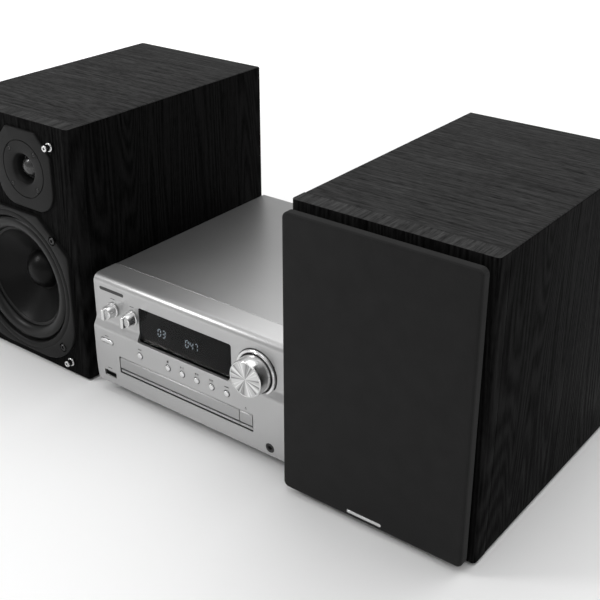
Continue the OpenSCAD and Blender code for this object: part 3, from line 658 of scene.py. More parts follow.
def baffle(side, place, low, high):
    """Front board: upright front edges rounded, holes behind the drivers."""
    r = 3.0
    corners = [[low[0], high[1]], [low[0], low[1]], [high[0], low[1]], [high[0], high[1]]]
    outline = rounded(corners, [0.3, r, r, 0.3])
    rows = np.concatenate([edge(high[2], low[2], 0.4)[:0:-1], edge(low[2], high[2], 0.4)[1:]])
    made = piece(side + "_front_board", skin([at_z(inset(outline, d), z) for d, z in rows]), place)
    holes = [(middle(local(side, "woofer_cone")), 64.0), (middle(local(side, "tweeter_dome")), 26.0),
             (middle(local(side, "super_tweeter")), 12.5)]
    tools = [turned(x, z, [[0, -5], [r, -5], [r, high[1] + 5], [0, high[1] + 5]]) for (x, z), r in holes]
    cut(made, together(*tools), place)
    return dress(eased(made, 0.2), "baffle_vinyl", side + "_speaker", side + "_baffle")


def driver_plate(outline, centre, thick, rows):
    """Skin of a plate with a round hole: its outline outside, rows of (radius, y) through the hole."""
    a = np.linspace(-math.pi, math.pi, 240, endpoint=False)
    outside = [at_y(by_angle(inset(outline, d), *centre, a), y) for d, y in edge(0, -thick, 1.0)]
    x, z = centre
    inside = [np.stack([x + r * np.cos(a), y + 0 * a, z + r * np.sin(a)], 1) for r, y in rows]
    return skin(outside + inside, ring=True)


def woofer_frame(side, place):
    """Cast frame: a plate with cut upper and round lower corners, a rounded lip, and the basket behind it."""
    low, high = local(side, "woofer_frame")
    x, z = centre = middle(local(side, "woofer_cone"))
    half, lip, thick = (high[0] - low[0]) / 2, 62.0, -low[1]
    corners = [[-half, -half], [half, -half], [half, half - 30],
               [half - 36, half], [36 - half, half], [-half, half - 30]]
    outline = rounded(np.array(corners) + [x, z], [45, 45, 5, 4, 4, 5], steps=10)
    rows = [[lip + 7, -thick], [lip + 5.6, -thick + 0.5],
            [lip + 4.8, -thick + 0.1], [lip + 2.2, -thick - 0.1],
            [lip + 0.8, -thick + 0.3], [lip, -thick + 1.3], [lip, 0], [lip + 1.8, 0]]
    front = piece(side + "_woofer_plate", driver_plate(outline, centre, thick, rows), place)
    well = [[0, -thick - 2], [4.6, -thick - 2], [4.2, -thick + 1.6], [0, -thick + 1.6]]
    holes = spoke_holes(centre, 74.6, 4, 45)
    wells = [turned(px, pz, well, steps=32) for px, pz in holes]
    cut(front, together(*wells), place)
    dress(eased(front, 0.3), "driver_plate", side + "_speaker", side + "_woofer_frame")
    basket = rounded([[lip, 0], [lip + 1.8, 0], [lip + 1.8, 10], [44, 46], [44, 58], [14.5, 58], [14.5, 55.5],
                      [41, 55.5], [41, 45], [lip - 1, 9]], 0.5)
    back = piece(side + "_woofer_basket", turned(x, z, basket, ring=True), place)
    for turn in np.radians([0, 60, 120]):
        flat = np.array([[-11, -80], [11, -80], [11, 80], [-11, 80]], float)
        flat = flat @ np.array([[math.cos(turn), math.sin(turn)], [-math.sin(turn), math.cos(turn)]]) + [x, z]
        cut(back, skin([at_y(flat, 14), at_y(flat, 42)]), place)
    dress(eased(back, 0.4), "driver_plate", side + "_speaker")
    heads = [socket_screw(px, pz, -thick + 1.0, 3.2) for px, pz in holes]
    screws = piece(side + "_woofer_screws", together(*heads), place)
    dress(screws, "driver_plate", side + "_speaker", material=SCREW)


def woofer_moving(side, place):
    """Cone with its former, dust cap, rolled surround and corrugated spider."""
    x, z = middle(local(side, "woofer_cone"))
    r_out, cap_r, coil_r, face = 47.0, 19.0, 12.9, 4.0
    t = np.linspace(0, 1, 22)
    depth = face + 20 * (t ** 0.86)
    front = np.stack([r_out + (cap_r + 0.6 - r_out) * t, depth], 1)
    back = front[::-1] + [0.35, 0.9]
    former = [[coil_r, 30], [coil_r, 66], [coil_r - 0.4, 66], [coil_r - 0.4, 29]]
    profile = np.concatenate([front, [[cap_r, 24.6]], former[::-1], back])
    cone = piece(side + "_cone_body", turned(x, z, profile, ring=True, steps=144), place, 60)
    dress(cone, "cone_paper", side + "_woofer_cone", side + "_woofer_cone")
    rise = 12.8
    ball = (cap_r ** 2 + rise ** 2) / (2 * rise)
    a = np.linspace(0, math.asin(cap_r / ball), 20)
    dome = np.stack([ball * np.sin(a), 24.2 - rise + ball * (1 - np.cos(a))], 1)
    rim = [[cap_r + 0.9, 24.0], [cap_r + 1.0, 24.6]]
    cap = np.concatenate([dome, rim, dome[::-1] + [0, 0.8]])
    cap[len(dome) + 2:, 0] = np.maximum(cap[len(dome) + 2:, 0] - 0.2, 0)
    dress(piece(side + "_dust_cap", turned(x, z, cap), place, 60), "cone_paper", side + "_woofer_cone")

    t = np.linspace(0, 1, 25)
    outer_r, inner_r, outer_y, height = 60.4, 48.0, 0.6, 4.5
    roll = np.stack([outer_r + (inner_r - outer_r) * (1 - np.cos(math.pi * t)) / 2,
                     outer_y + (face - outer_y) * t - height * np.sin(math.pi * t)], 1)
    top = np.concatenate([[[61.2, 0.1], [60.9, 0.0]], roll, [[46.4, 4.3], [45.2, 5.2]]])
    under = np.concatenate([[[45.2, 5.6], [46.6, 4.9]], roll[::-1] + [0, 0.9], [[60.9, 0.8], [61.2, 0.7]]])
    band = turned(x, z, np.concatenate([top, under]), ring=True, steps=144)
    surround = piece(side + "_surround", band, place, 60)
    dress(surround, "rubber_surround", None, side + "_woofer_suspension")
    bend = [place([[x, y, z]])[0] for y in (0.9, 4.1)]
    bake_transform(surround)

    t = np.linspace(0, 1, 61)
    wavy = np.stack([coil_r + 0.8 + (40.6 - coil_r - 0.8) * t,
                     40.5 + 5.5 * t + 0.7 * np.sin(10 * math.pi * t)], 1)
    both = np.concatenate([wavy, wavy[::-1] + [0, 0.5]])
    spider = piece(side + "_spider", turned(x, z, both, ring=True), place, 60)
    dress(spider, "grille_fabric", None)
    bend = [place([[x, y, z]])[0] for y in (46.0, 41.2)]
    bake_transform(spider)


def tweeters(side, place):
    """Dome tweeter in its cut-cornered plate, and the small super tweeter beside it."""
    low, high = local(side, "tweeter_plate")
    x, z = centre = middle(local(side, "tweeter_dome"))
    hw, hh, thick = (high[0] - low[0]) / 2, (high[2] - low[2]) / 2, -low[1]
    corners = [[-hw, -hh], [hw, -hh], [hw, hh - 18], [hw - 17, hh], [17 - hw, hh], [-hw, hh - 18]]
    outline = rounded(np.array(corners) + [x, z], [22, 22, 4, 3, 3, 4], steps=8)
    groove = 26.0
    horn = rounded([[16.6, -thick], [14.2, -thick + 0.6], [12.6, 1.5], [12, 5]], [0, 1.5, 3, 0], closed=False)
    rows = [[groove + 0.5, -thick], [groove + 0.2, -thick + 0.7],
            [groove - 0.2, -thick + 0.7], [groove - 0.5, -thick]]
    rows = np.concatenate([rows, horn, [[12, 14], [13.5, 14], [13.5, 24], [25.5, 24], [25.5, 0]]])
    made = piece(side + "_tweeter_face", driver_plate(outline, centre, thick, rows), place)
    well = [[0, -thick - 2], [2.6, -thick - 2], [2.4, -thick + 1.0], [0, -thick + 1.0]]
    holes = spoke_holes(centre, 22.7, 4, 45)
    wells = [turned(px, pz, well, steps=24) for px, pz in holes]
    cut(made, together(*wells), place)
    dress(made, "driver_plate", side + "_speaker", side + "_tweeter_plate")
    heads = [socket_screw(px, pz, -thick + 0.7, 1.9) for px, pz in holes]
    screws = piece(side + "_tweeter_screws", together(*heads), place)
    dress(screws, "driver_plate", side + "_speaker", material=SCREW)

    a = np.linspace(0, math.radians(72), 18)
    ball = 10.7
    dome = np.stack([ball * np.sin(a), 0.15 + ball * (1 - np.cos(a))], 1)
    edge_roll = [[10.6, 8.2], [11.1, 7.9], [11.4, 8.4], [11.4, 9.2], [9, 9.2], [9, 12.5], [0, 12.5]]
    dome = piece(side + "_tweeter_cap", turned(x, z, np.concatenate([dome, edge_roll])), place, 50)
    dress(dome, "dome_silk", side + "_tweeter_dome", side + "_tweeter_dome")

    low, high = local(side, "super_tweeter")
    (x, z), r, thick = middle((low, high)), (high[0] - low[0]) / 2, -low[1]
    profile = rounded([[0, 16], [12.3, 16], [12.3, 0], [r, 0], [r, -thick], [11.2, -thick], [5, 8], [0, 8]],
                      [0, 0.5, 0, 0.3, 1.2, 1.2, 0.5, 0])
    horn = turned(x, z, profile)
    plug = turned(x, z, rounded([[0, 8.2], [3, 8.2], [1.2, 3.5], [0, 0.8]], [0, 0, 2, 0], closed=False))
    made = piece(side + "_super_horn", together(horn, plug), place, 50)
    dress(made, "driver_plate", side + "_speaker", side + "_super_tweeter")


def fittings(side, place):
    """Grille studs, reflex port, terminal cup with its sockets, and pads."""
    low, high = local(side, "grille_studs")
    studs = []
    for x in (low[0] + 4, high[0] - 4):
        for z in (low[2] + 4, high[2] - 4):
            tip = low[1]
            corners = [[0, 11], [2.9, 11], [2.9, 0], [4, 0], [4, -3], [2.9, -3],
                       [2.9, tip], [1.1, tip], [1.0, tip + 2.6], [0, tip + 2.6]]
            profile = rounded(corners, [0, 0.3, 0, 0.3, 0.5, 0.25, 0.7, 0.3, 0.3, 0])
            studs.append(turned(x, z, profile, steps=48))
    made = piece(side + "_studs", together(*studs), place, 50)
    dress(made, "stud_chrome", side + "_speaker", side + "_grille_studs")

    low, high = local(side, "port_tube")
    (x, z), r, back = middle((low, high)), 17.0, high[1]
    flare = arc(r + 7.5, back - 7.5, 7.5, 90, 180)
    rim = [[r + 2.4, low[1]], [r + 2.4, back - 2.2], [r + 8.4, back - 2.2],
           [r + 8.8, back - 1.6], [r + 8.6, back - 0.2]]
    profile = np.concatenate([rim, flare, [[r, low[1] + 1], [r + 1, low[1]]]])
    tube = piece(side + "_port", turned(x, z, profile, ring=True), place, 50)
    dress(tube, "black_moulding", side + "_speaker", side + "_port_tube")

    low, high = local(side, "terminal_cup")
    (x, z), back = middle((low, high)), high[1]
    body, flange = round_rect(x, z, 65, 43, 5), round_rect(x, z, 77, 55, 5)
    recess = round_rect(x, z, 60, 38, 4)
    loops = [at_y(body, low[1]), at_y(body, back - 2.1), at_y(flange, back - 2.1)]
    loops += [at_y(inset(flange, d), y) for d, y in edge(back - 2.0, back, 0.6)[1:]]
    lip = (-0.6, back), (-0.2, back - 0.15), (0, back - 0.6), (0.5, back - 16)
    loops += [at_y(inset(recess, d), y) for d, y in lip]
    loops += [at_y(inset(recess, 1.2), back - 16.3)]
    cup = piece(side + "_cup", skin(loops), place)
    sockets = local(side, "terminal_sockets")
    places = [sockets[0][0] + 5.5, sockets[1][0] - 5.5]
    bore = [[0, back - 30], [3.6, back - 30], [3.6, back], [0, back]]
    cut(cup, together(*[turned(s, z, bore) for s in places]), place)
    dress(eased(cup, 0.2), "black_moulding", side + "_speaker", side + "_terminal_cup")
    y0, y1 = sockets[0][1], sockets[1][1]
    metal, rings = [], []
    for s in places:
        corners = [[3.5, y0], [3.5, y0 + 5.6], [5.5, y0 + 5.6], [5.5, y1 - 1], [3.6, y1],
                   [2, y1], [2, y0 + 2], [0.01, y0 + 2], [0.01, y0]]
        profile = rounded(corners, [0, 0, 0.3, 0.4, 0.3, 0.4, 0, 0, 0])
        metal.append(turned(s, z, profile, ring=True, steps=48))
        rings.append(rounded([[5.5, y1 - 6.5], [6.1, y1 - 6.2], [6.1, y1 - 3], [5.5, y1 - 2.7]], 0.2))
    made = piece(side + "_sockets", together(*metal), place)
    dress(made, "terminal_brass", side + "_speaker", side + "_terminal_sockets")
    for s, ring, color, word in zip(places, rings, (FINISH["black_moulding"], RED), ("minus", "plus")):
        made = piece(f"{side}_ring_{word}", turned(s, z, ring, ring=True, steps=48), place)
        dress(made, "black_moulding", side + "_speaker", material=color)

    low, high = local(side, "pads")
    profile = rounded([[0, 0], [8, 0], [8, high[2]], [0, high[2]]], [0, 0.5, 0.3, 0], closed=False)
    pads = [upright(x, y, profile, 48)
            for x in (low[0] + 8, high[0] - 8) for y in (low[1] + 8, high[1] - 8)]
    made = piece(side + "_soft_pads", together(*pads), place)
    dress(made, "rubber_feet", side + "_speaker", side + "_pads")


def speaker(side):
    """All the pieces of one speaker."""
    place = PLACES[side]
    cabinet(side, place, *local(side, "cabinet"))
    baffle(side, place, *local(side, "baffle"))
    woofer_frame(side, place)
    woofer_moving(side, place)
    tweeters(side, place)
    fittings(side, place)


def speaker_place(side):
    """Middle of a speaker's front on the floor, in metres."""
    low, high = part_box(side + "_baffle")
    return (low.x + high.x) / 2, low.y


PLACES = {side: placed(*speaker_place(side), flip) for side, flip in SIDES.items()}


def local(side, node):
    """Box of a speaker's node from the middle of its front, in millimetres; the right one's is mirrored."""
    name = node if node.startswith("grille_f") or node.startswith("grille_c") else f"{side}_{node}"
    return span(name, *speaker_place(side), SIDES[side])


def middle(box):
    """Middle of a box in x and z."""
    return (box[0][0] + box[1][0]) / 2, (box[0][2] + box[1][2]) / 2


def grille():
    """Cloth pulled over a board with rounded edges, with a plain slim badge near its foot."""
    place = PLACES["right"]
    low, high = local("right", "grille_cloth")
    (x, z), w, h = middle((low, high)), high[0] - low[0], high[2] - low[2]
    outside, inside = round_rect(x, z, w, h, 4.8, 8), round_rect(x, z, w - 1.6, h - 1.6, 4.0, 8)
    face, back, r = low[1], high[1], 2.4
    loops = [at_y(inset(inside, d), y) for d, y in edge(back, face + 0.8, r - 0.8)[::-1]]
    loops += [at_y(inset(outside, d), y) for d, y in edge(back, face, r, 6)]
    cloth = piece("grille_cover", skin(loops), place, 50)
    dress(cloth, "grille_fabric", "grille", "grille_cloth")
    badge = round_rect(3.0, 11.6, 30, 2.6, 1.2)
    made = piece("grille_badge", plate(badge, edge(face + 0.3, face - 0.7, 0.4)), place)
    dress(made, "stud_chrome", "grille", material=FINISH["knob_aluminium"])


for name in SIDES:
    speaker(name)
grille()


# ------------------------------------------------------------------ receiver

rim_low, rim_high = in_unit("front_rim")
cover_low, cover_high = in_unit("top_cover")
UNIT_W, UNIT_TOP, UNIT_BACK = cover_high[0], cover_high[2], cover_high[1]
FOOT, FLANGE = rim_low[2], rim_high[1]
STEP = 4.0


def front_profile():
    """Side view of the front: rounded top edge, upright face, slope out to the lower half, chin, and back."""
    t = np.linspace(0, 1, 13)
    slope = np.stack([-STEP * (1 - np.cos(math.pi * t)) / 2, 75 - 10.5 * t], 1)
    chin = rounded([[-STEP, 40], [-STEP, 33], [-STEP + 0.5, 21], [-STEP + 1.4, FOOT], [10, FOOT]],
                   [0, 20, 20, 3.2, 0], closed=False)
    top = np.concatenate([[[FLANGE, UNIT_TOP]], arc(7, UNIT_TOP - 7, 7, 90, 180, 12)])
    return np.concatenate([top, slope, chin, [[FLANGE, FOOT]]])


# painted shade: in black, these bands stand in for the shade inside the gaps round openings
def gap_shade_band(outline, width, y_front, y_back):
    """Skin of a band of some width, set round the inside of an opening."""
    inner = inset(outline, width)
    loops = [at_y(outline, y_front), at_y(outline, y_back), at_y(inner, y_back), at_y(inner, y_front)]
    return skin(loops, ring=True)


def front_panel():
    """Silver front moulding: the side profile carried across, hollow behind, with every opening cut out."""
    profile = front_profile()
    made = piece("front_moulding", bar_between(profile, 0, UNIT_W, 0.9), unit)
    inner = inset(profile, 2.5)
    inner[:, 0] = np.where(profile[:, 0] > FLANGE - 1, FLANGE + 5, inner[:, 0])
    cut(made, skin([at_x(inner, 2.5), at_x(inner, UNIT_W - 2.5)]), unit)
    window, door, eject = in_unit("display_window"), in_unit("tray_door"), in_unit("eject_button")
    fitted = "power_button", "usb_port", "headphone_jack", "volume_knob"
    power, usb, jack, knob = (in_unit(n) for n in fitted)
    tools = []

    def through(outline):
        tools.append(skin([at_y(outline, -9), at_y(outline, 9)]))

    (wx, wz), w, h = middle(window), window[1][0] - window[0][0], window[1][2] - window[0][2]
    through(round_rect(wx, wz, w + 0.3, h + 0.3, 2, 6))
    x0, x1, z0, z1 = door[0][0] - 0.8, eject[1][0] + 0.8, door[0][2] - 0.75, door[1][2] + 0.85
    slot = round_rect((x0 + x1) / 2, (z0 + z1) / 2, x1 - x0, z1 - z0, 0.6, 3)
    pill = round_rect(*middle(power), 15.8, 4.8, 2.39, 8)
    # painted shade: black bands inside the tray slot, power opening and button holes stand in for the shade in
    # their gaps
    gap_shade_bands = [gap_shade_band(slot, 0.3, -3.3, 2.6), gap_shade_band(pill, 0.4, -3.5, -1.6)]
    through(slot)
    through(pill)
    for name in ROUND_BUTTONS:
        ring = circle(*middle(in_unit(name)), 3.2, 48)
        gap_shade_bands.append(gap_shade_band(ring, 0.45, -3.5, -1.6))
        through(ring)
    (ux, uz) = middle(usb)
    through(round_rect(ux, uz, 14.2, 6.0, 0.5, 3))
    jx, jz = middle((jack[0], [jack[1][0], 0, 0]))[0], 20.7
    through(circle(jx, jz, 4.3, 64))
    kx, kz = middle(knob)
    tools.append(turned(kx, kz, [[0, -9], [17.0, -9], [17.0, -0.3], [0, -0.3]]))
    cut(made, together(*tools), unit)
    dress(eased(made, 0.22, 2, 45), "front_silver", "main_unit", "front_panel", "front_rim", "front_sill")
    collar = rounded([[17.0, 0.2], [17.0, -2.0], [17.6, -2.5], [19.0, -2.5], [19.6, -1.9], [19.6, 0.2]],
                     [0, 0.3, 0.3, 0.4, 0.5, 0])
    dress(piece("volume_collar", turned(kx, kz, collar, ring=True), unit), "knob_aluminium", "main_unit")
    # painted shade: black rings inside and outside the volume collar stand in for the shade in its gaps
    gap_shade_rings = [turned(kx, kz, [[r0, 0.1], [r0, y], [r1, y], [r1, 0.1]], ring=True)
             for r0, r1, y in ((19.5, 20.2, -0.25), (14.0, 16.95, -0.4))]
    dress(piece("panel_gap_shade", together(*gap_shade_bands, *gap_shade_rings), unit), "black_moulding", "main_unit")
    bosses = [turned(kx, kz, [[3.06, -0.3], [3.06, 10], [7, 10], [7, -0.3]], ring=True, steps=48)]
    for node in ("bass_knob", "treble_knob"):
        bx, bz = middle(in_unit(node))
        bosses.append(turned(bx, bz, [[2.56, 2], [2.56, 8], [5, 8], [5, 2]], ring=True, steps=48))
    dress(piece("shaft_bosses", together(*bosses), unit), "front_silver", "main_unit")


ROUND_BUTTONS = [word + "_button" for word in ("selector", "stop", "play", "skip_back", "skip_ahead", "usb")]


def top_cover():
    """Folded sheet cover: an upside-down U with rounded shoulders, its front and rear edges eased."""
    sheet = 1.2
    y0, y1 = cover_low[1], cover_high[1]
    corners = [[0, FOOT], [0, UNIT_TOP], [UNIT_W, UNIT_TOP], [UNIT_W, FOOT]]
    outer = rounded(corners, [0, 2, 2, 0], closed=False)
    inner = rounded([[sheet, FOOT], [sheet, UNIT_TOP - sheet],
                     [UNIT_W - sheet, UNIT_TOP - sheet], [UNIT_W - sheet, FOOT]],
                    [0, 0.8, 0.8, 0], closed=False)[::-1]
    outline = np.concatenate([outer, inner])
    made = piece("cover_sheet", skin([at_y(outline, y0), at_y(outline, y1)]), unit)
    dress(eased(made, 0.25, 2, 60), "cover_silver", "main_unit", "top_cover")
    heads = [socket_screw(x, z, UNIT_BACK + 1.7, 2.6) for x in (12, UNIT_W - 12) for z in (24, 106)]
    backs = together(*heads)
    backs[0][:, 1] = 2 * (UNIT_BACK + 1.7) - backs[0][:, 1]
    dress(piece("cover_screws", backs, unit), "rear_black", "main_unit", material=SCREW)


def seven_segments(text, x, z, height, slant=0.08):
    """Slim bars of a numeric display: each lit bar is a long hexagon between two corners of its cell."""
    ends = {"a": (0, 2, 1, 2), "b": (1, 2, 1, 1), "c": (1, 1, 1, 0), "d": (0, 0, 1, 0), "e": (0, 1, 0, 0),
            "f": (0, 2, 0, 1), "g": (0, 1, 1, 1)}
    lit = {"0": "abcdef", "3": "abcdg", "4": "bcfg", "7": "abc"}
    width, half, gap, step = height * 0.46, height * 0.045, height * 0.07, height * 0.76
    bars = []
    for i, sign in enumerate(text):
        for name in lit[sign]:
            x0, z0, x1, z1 = (v * s for v, s in zip(ends[name], (width, height / 2) * 2))
            d = np.array([x1 - x0, z1 - z0])
            d = d / np.linalg.norm(d)
            n = np.array([-d[1], d[0]]) * half
            p, q = np.array([x0, z0]) + d * gap, np.array([x1, z1]) - d * gap
            flat = np.array([p, p + (d * half - n), q - (d * half + n),
                             q, q - (d * half - n), p + (d * half + n)])
            flat[:, 0] += slant * flat[:, 1] + x + i * step
            flat[:, 1] += z
            bars.append(skin([at_y(flat, 3.0), at_y(flat, 2.9)]))
    return together(*bars)


def display():
    """Smoked window over a dark display face with lit numerals."""
    low, high = in_unit("display_window")
    (x, z), w, h = middle((low, high)), high[0] - low[0], high[2] - low[2]
    lens = piece("smoked_window", plate(round_rect(x, z, w, h, 1.85, 8), edge(high[1], low[1], 0.3)), unit)
    dress(lens, "display_lens", "main_unit", "display_window")
    low, high = in_unit("display_module")
    face = round_rect(x, z, w - 0.4, h - 0.4, 1.6, 4)
    body = round_rect(*middle((low, high)), high[0] - low[0], high[2] - low[2], 1, 4)
    loops = [at_y(face, 3.0), at_y(face, 7.0), at_y(body, 7.0), at_y(body, high[1])]
    made = piece("display_face", skin(loops), unit)
    dress(eased(made, 0.2), "display_body", "main_unit", "display_module")
    numbers = together(seven_segments("03", 72.4, 77.0, 6.6), seven_segments("047", 103.4, 77.0, 6.6))
    dress(piece("lit_numbers", numbers, unit), "display_body", "main_unit", material=LIT)


def volume_knob():
    """Turned knob: a brushed body, a chamfered rim, and a spun cap set in its front."""
    low, high = in_unit("volume_knob")
    x, z = middle((low, high))
    r, front, back = 15.6, low[1], -1.1
    body = rounded([[0, front + 0.5], [r - 1.3, front + 0.5], [r - 1.2, front],
                    [r - 0.6, front], [r, front + 0.7],
                    [r + 0.6, back], [3, back], [3, 12], [0, 12]], [0, 0.1, 0.1, 0.2, 0.3, 0.3, 0.1, 0.3, 0])
    made = piece("volume_body", turned(x, z, body, steps=144), unit, 40)
    dress(made, "knob_aluminium", "volume_knob", "volume_knob")
    radii = np.concatenate([[0.02], np.linspace(1, r - 1.35, 12)])
    profile = np.concatenate([np.stack([radii, np.full(len(radii), front + 0.12)], 1),
                              [[r - 1.3, front + 0.3], [r - 1.3, front + 0.6], [0.02, front + 0.6]]])
    cap = piece("volume_cap", turned(x, z, profile, ring=True, steps=144), unit, 40)
    around(cap, knob_axis)
    dress(cap, "knob_aluminium", "volume_knob", material=SPUN)


def around(made, axis):
    """UV map "turn" for a turned piece: u is the angle about the axis, unwrapped by face, v the radius."""
    mesh = made.data
    layer = mesh.uv_layers.new(name="turn")
    corner = np.zeros(len(mesh.loops), np.int32)
    mesh.loops.foreach_get("vertex_index", corner)
    points = np.zeros(len(mesh.vertices) * 3, np.float32)
    mesh.vertices.foreach_get("co", points)
    points = points.reshape(-1, 3)[corner] - np.array(axis)
    start, total = (np.zeros(len(mesh.polygons), np.int32) for _ in range(2))
    mesh.polygons.foreach_get("loop_start", start)
    mesh.polygons.foreach_get("loop_total", total)
    angle = np.arctan2(points[:, 2], points[:, 0])
    first = np.repeat(angle[start], total)
    angle = first + (angle - first + math.pi) % (2 * math.pi) - math.pi
    layer.data.foreach_set("uv", np.stack([angle / (2 * math.pi), np.hypot(points[:, 0], points[:, 2]) / 0.02], 1)
                           .astype(np.float32).ravel())


def tone_knob(node):
    """Small turned knob with a raised grip bar across its face."""
    low, high = in_unit(node)
    x, z = middle((low, high))
    body = rounded([[0, -9.5], [5.4, -9.5], [6, -2.2], [6.8, -1.8],
                    [6.8, -0.4], [2.5, -0.4], [2.5, 10], [0, 10]],
                   [0, 0.8, 0.3, 0.4, 0.2, 0.1, 0.3, 0])
    grip = plate(round_rect(x, z, 3.4, 10.4, 1.2), edge(-7, low[1], 0.7))
    made = piece(node + "_body", together(turned(x, z, body), grip), unit, 40)
    dress(made, "knob_aluminium", node, node)


def round_button(node):
    """Domed round button on a flange."""
    low, high = in_unit(node)
    x, z = middle((low, high))
    a = np.linspace(0, 1, 8)
    dome = np.stack([2.6 * np.sin(a * math.pi / 2), low[1] + 0.75 * (1 - np.cos(a * math.pi / 2))], 1)
    rest = [[2.6, 0], [3.8, 0], [3.8, 1], [0, 1]]
    cap = piece(node + "_cap", turned(x, z, np.concatenate([dome, rest]), steps=48), unit, 40)
    dress(cap, "button_silver", node, node)


def power_button():
    """Pill-shaped button with a softly rounded rim."""
    low, high = in_unit("power_button")
    x, z = middle((low, high))
    face = plate(round_rect(x, z, 14.6, 3.6, 1.79, 10), edge(0, low[1], 0.6))
    flange = plate(round_rect(x, z, 16.6, 5.6, 1.8), edge(1.0, 0.0, 0.2))
    pill = piece("power_pill", together(face, flange), unit, 40)
    dress(pill, "button_silver", "power_button", "power_button")


def lipped(z0):
    """Side view of the tray door: a swelling upper face, a groove, and a lip below it."""
    corners = [[0, z0], [-2.4, z0], [-3.4, z0 + 0.6], [-3.4, z0 + 2.7], [-1.0, z0 + 2.9], [-1.0, z0 + 4.3],
               [-3.9, z0 + 4.5], [-4.05, z0 + 9], [-3.9, z0 + 13.4], [-3.2, z0 + 14.3], [0, z0 + 14.3]]
    outline = rounded(corners, [0, 0.4, 0.4, 0.2, 0.1, 0.1, 0.25, 20, 0.5, 0.3, 0], steps=4)
    return outline[::-1]


def tray_front():
    """Tray door and eject button, both of the lipped section."""
    low, high = in_unit("tray_door")
    made = piece("door_bar", bar_between(lipped(low[2]), low[0], high[0], 0.35), unit)
    dress(made, "door_silver", "disc_tray", "tray_door")
    low, high = in_unit("eject_button")
    cap = bar_between(lipped(low[2]), low[0], high[0], 0.35)
    stem = block([low[0] + 3, -0.02, low[2] + 3], [high[0] - 3, 8, low[2] + 11], 0.5)
    dress(piece("eject_bar", together(cap, stem), unit), "door_silver", "eject_button", "eject_button")


def feet():
    """Four moulded feet with a rounded lower rim and a soft ring."""
    low, high = in_unit("unit_feet")
    h = high[2]
    corners = [[0, 0], [8.5, 0], [9.5, 1.2], [11, 3], [11, h], [0, h]]
    profile = rounded(corners, [0, 0.6, 0.8, 1, 0.3, 0], closed=False)
    parts = [upright(x, y, profile, 64)
             for x in (low[0] + 11, high[0] - 11) for y in (low[1] + 11, high[1] - 11)]
    dress(piece("round_feet", together(*parts), unit), "rubber_feet", "main_unit", "unit_feet")


def jack():
    """Headphone socket: a black nut with a rounded mouth."""
    low, high = in_unit("headphone_jack")
    x, z = (low[0] + high[0]) / 2, 20.7
    nut = rounded([[1.8, low[1]], [4.2, low[1]], [4.2, 4], [6, 4],
                   [6, 16], [0.01, 16], [0.01, 14], [1.8, 14]],
                  [0.4, 0.5, 0, 0.3, 0.3, 0, 0, 0])
    made = piece("jack_nut", turned(x, z, nut, ring=True), unit, 40)
    dress(made, "black_moulding", "main_unit", "headphone_jack")


def marks():
    """Plain printed marks: a slim bar at the top left, dots by the knobs, and simple transport signs."""
    parts = []

    def bar(x, z, w, h, y, r=0.2):
        parts.append(plate(round_rect(x, z, w, h, r, 3), edge(y + 0.06, y - 0.03, 0.02, 1)))

    def shape(points, x, z, y):
        parts.append(plate(np.array(points, float) + [x, z], edge(y + 0.06, y - 0.03, 0.02, 1)))

    bar(21.8, 103.4, 29, 3.2, 0, 1.5)
    triangle = [[-1.1, -1.2], [1.1, 0], [-1.1, 1.2]]
    flipped = [[1.1, 1.2], [-1.1, 0], [1.1, -1.2]]
    row_z, face = 60.6, -STEP + 0.03
    bar(88.3, row_z, 2.1, 2.1, face)
    shape(triangle, 103.4, row_z, face)
    bar(105.7, row_z, 0.7, 2.2, face)
    for x in (119.2, 121.5):
        shape(flipped, x, row_z, face)
    for x in (135.5, 137.8):
        shape(triangle, x, row_z, face)
    bar(152.7, row_z, 4.6, 0.9, face)
    bar(55.9, row_z, 4.0, 0.9, face)
    shape([[-1, 0], [1, 0], [0, 1.3]], 172.2, 48.6, -STEP)
    bar(172.2, 47.8, 2.0, 0.45, -STEP, 0.1)
    bar(15.8, 60.3, 4.5, 0.6, face)
    bar(16.5, 28.6, 5, 0.6, -STEP + 0.1)
    bar(22.5, 96.6, 5, 0.6, 0)
    bar(45.5, 96.2, 5, 0.6, 0)
    bar(198.4, 93.5, 1.0, 1.0, 0, 0.45)
    dress(piece("printed_marks", together(*parts), unit), "front_silver", "main_unit", material=PRINT)


front_panel()
top_cover()
display()
volume_knob()
for name in ("bass_knob", "treble_knob"):
    tone_knob(name)
for name in ROUND_BUTTONS:
    round_button(name)
power_button()
tray_front()
feet()
jack()
marks()


# ------------------------------------------------------------------ studio

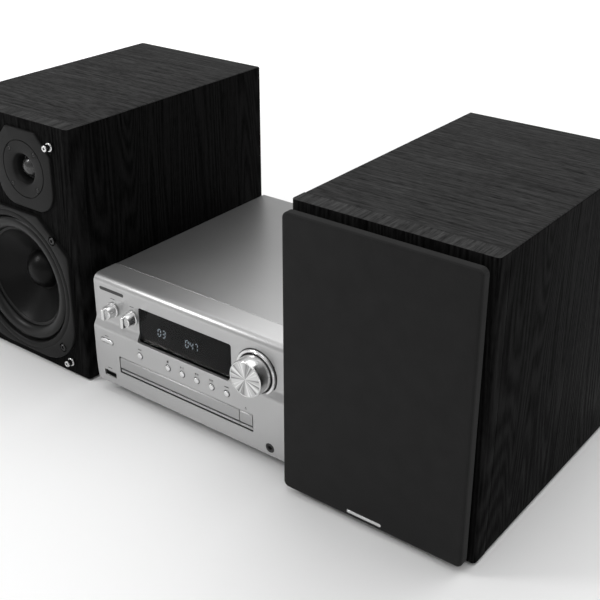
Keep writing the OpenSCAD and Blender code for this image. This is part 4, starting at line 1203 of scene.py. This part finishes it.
def floor():
    """A wide pale floor, which glows a little away from the middle so that it meets the backdrop in white."""
    mesh = bpy.data.meshes.new("floor")
    half = 4.0
    corners = [(-half, -half, 0), (half, -half, 0), (half, half, 0), (-half, half, 0)]
    mesh.from_pydata(corners, [], [(0, 1, 2, 3)])
    made = bpy.data.objects.new("floor", mesh)
    f = Finish("floor", grey(0.9), 0.75)
    f.gloss(f.noise(f.place(), 12, 3), 0.7, 0.8, 0.3, 0.7)
    away = f.add("ShaderNodeVectorMath", operation="LENGTH")
    f.link(f.place(), away.inputs[0])
    f.link(f.remap(away.outputs["Value"], 0.0, 0.5, 0.6, 1.6), f.shader.inputs["Emission Strength"])
    mesh.materials.append(f.material)
    bpy.context.scene.collection.objects.link(made)


def light(name, place, aim, size, power):
    """A square soft light at a place, turned to face aim."""
    data = bpy.data.lights.new(name, "AREA")
    data.shape, data.size, data.energy = "SQUARE", size, power
    made = bpy.data.objects.new(name, data)
    made.location = place
    made.rotation_euler = (Vector(aim) - Vector(place)).to_track_quat("-Z", "Y").to_euler()
    bpy.context.scene.collection.objects.link(made)


def surroundings(seen, cast):
    """A white backdrop as the camera sees it, and a dim room for everything it lights."""
    world = bpy.data.worlds.new("room")
    bpy.context.scene.world = world
    world.use_nodes = True
    tree = world.node_tree
    back = tree.nodes["Background"]
    back.inputs["Color"].default_value = (1, 1, 1, 1)
    path = tree.nodes.new("ShaderNodeLightPath")
    level = tree.nodes.new("ShaderNodeMapRange")
    level.inputs["To Min"].default_value = cast
    level.inputs["To Max"].default_value = seen
    tree.links.new(path.outputs["Is Camera Ray"], level.inputs["Value"])
    tree.links.new(level.outputs[0], back.inputs["Strength"])


bpy.context.scene.view_settings.view_transform = "Standard"
floor()
surroundings(1.0, 0.48)
light("back_light", (0.0, 1.4, 2.4), (0, 0.1, 0.1), 3.2, 48)
light("front_light", (0.3, -0.9, 2.2), (0, -0.3, 0), 2.0, 14)
light("left_light", (-1.15, -1.1, 1.25), (0, -0.1, 0.1), 0.4, 9)
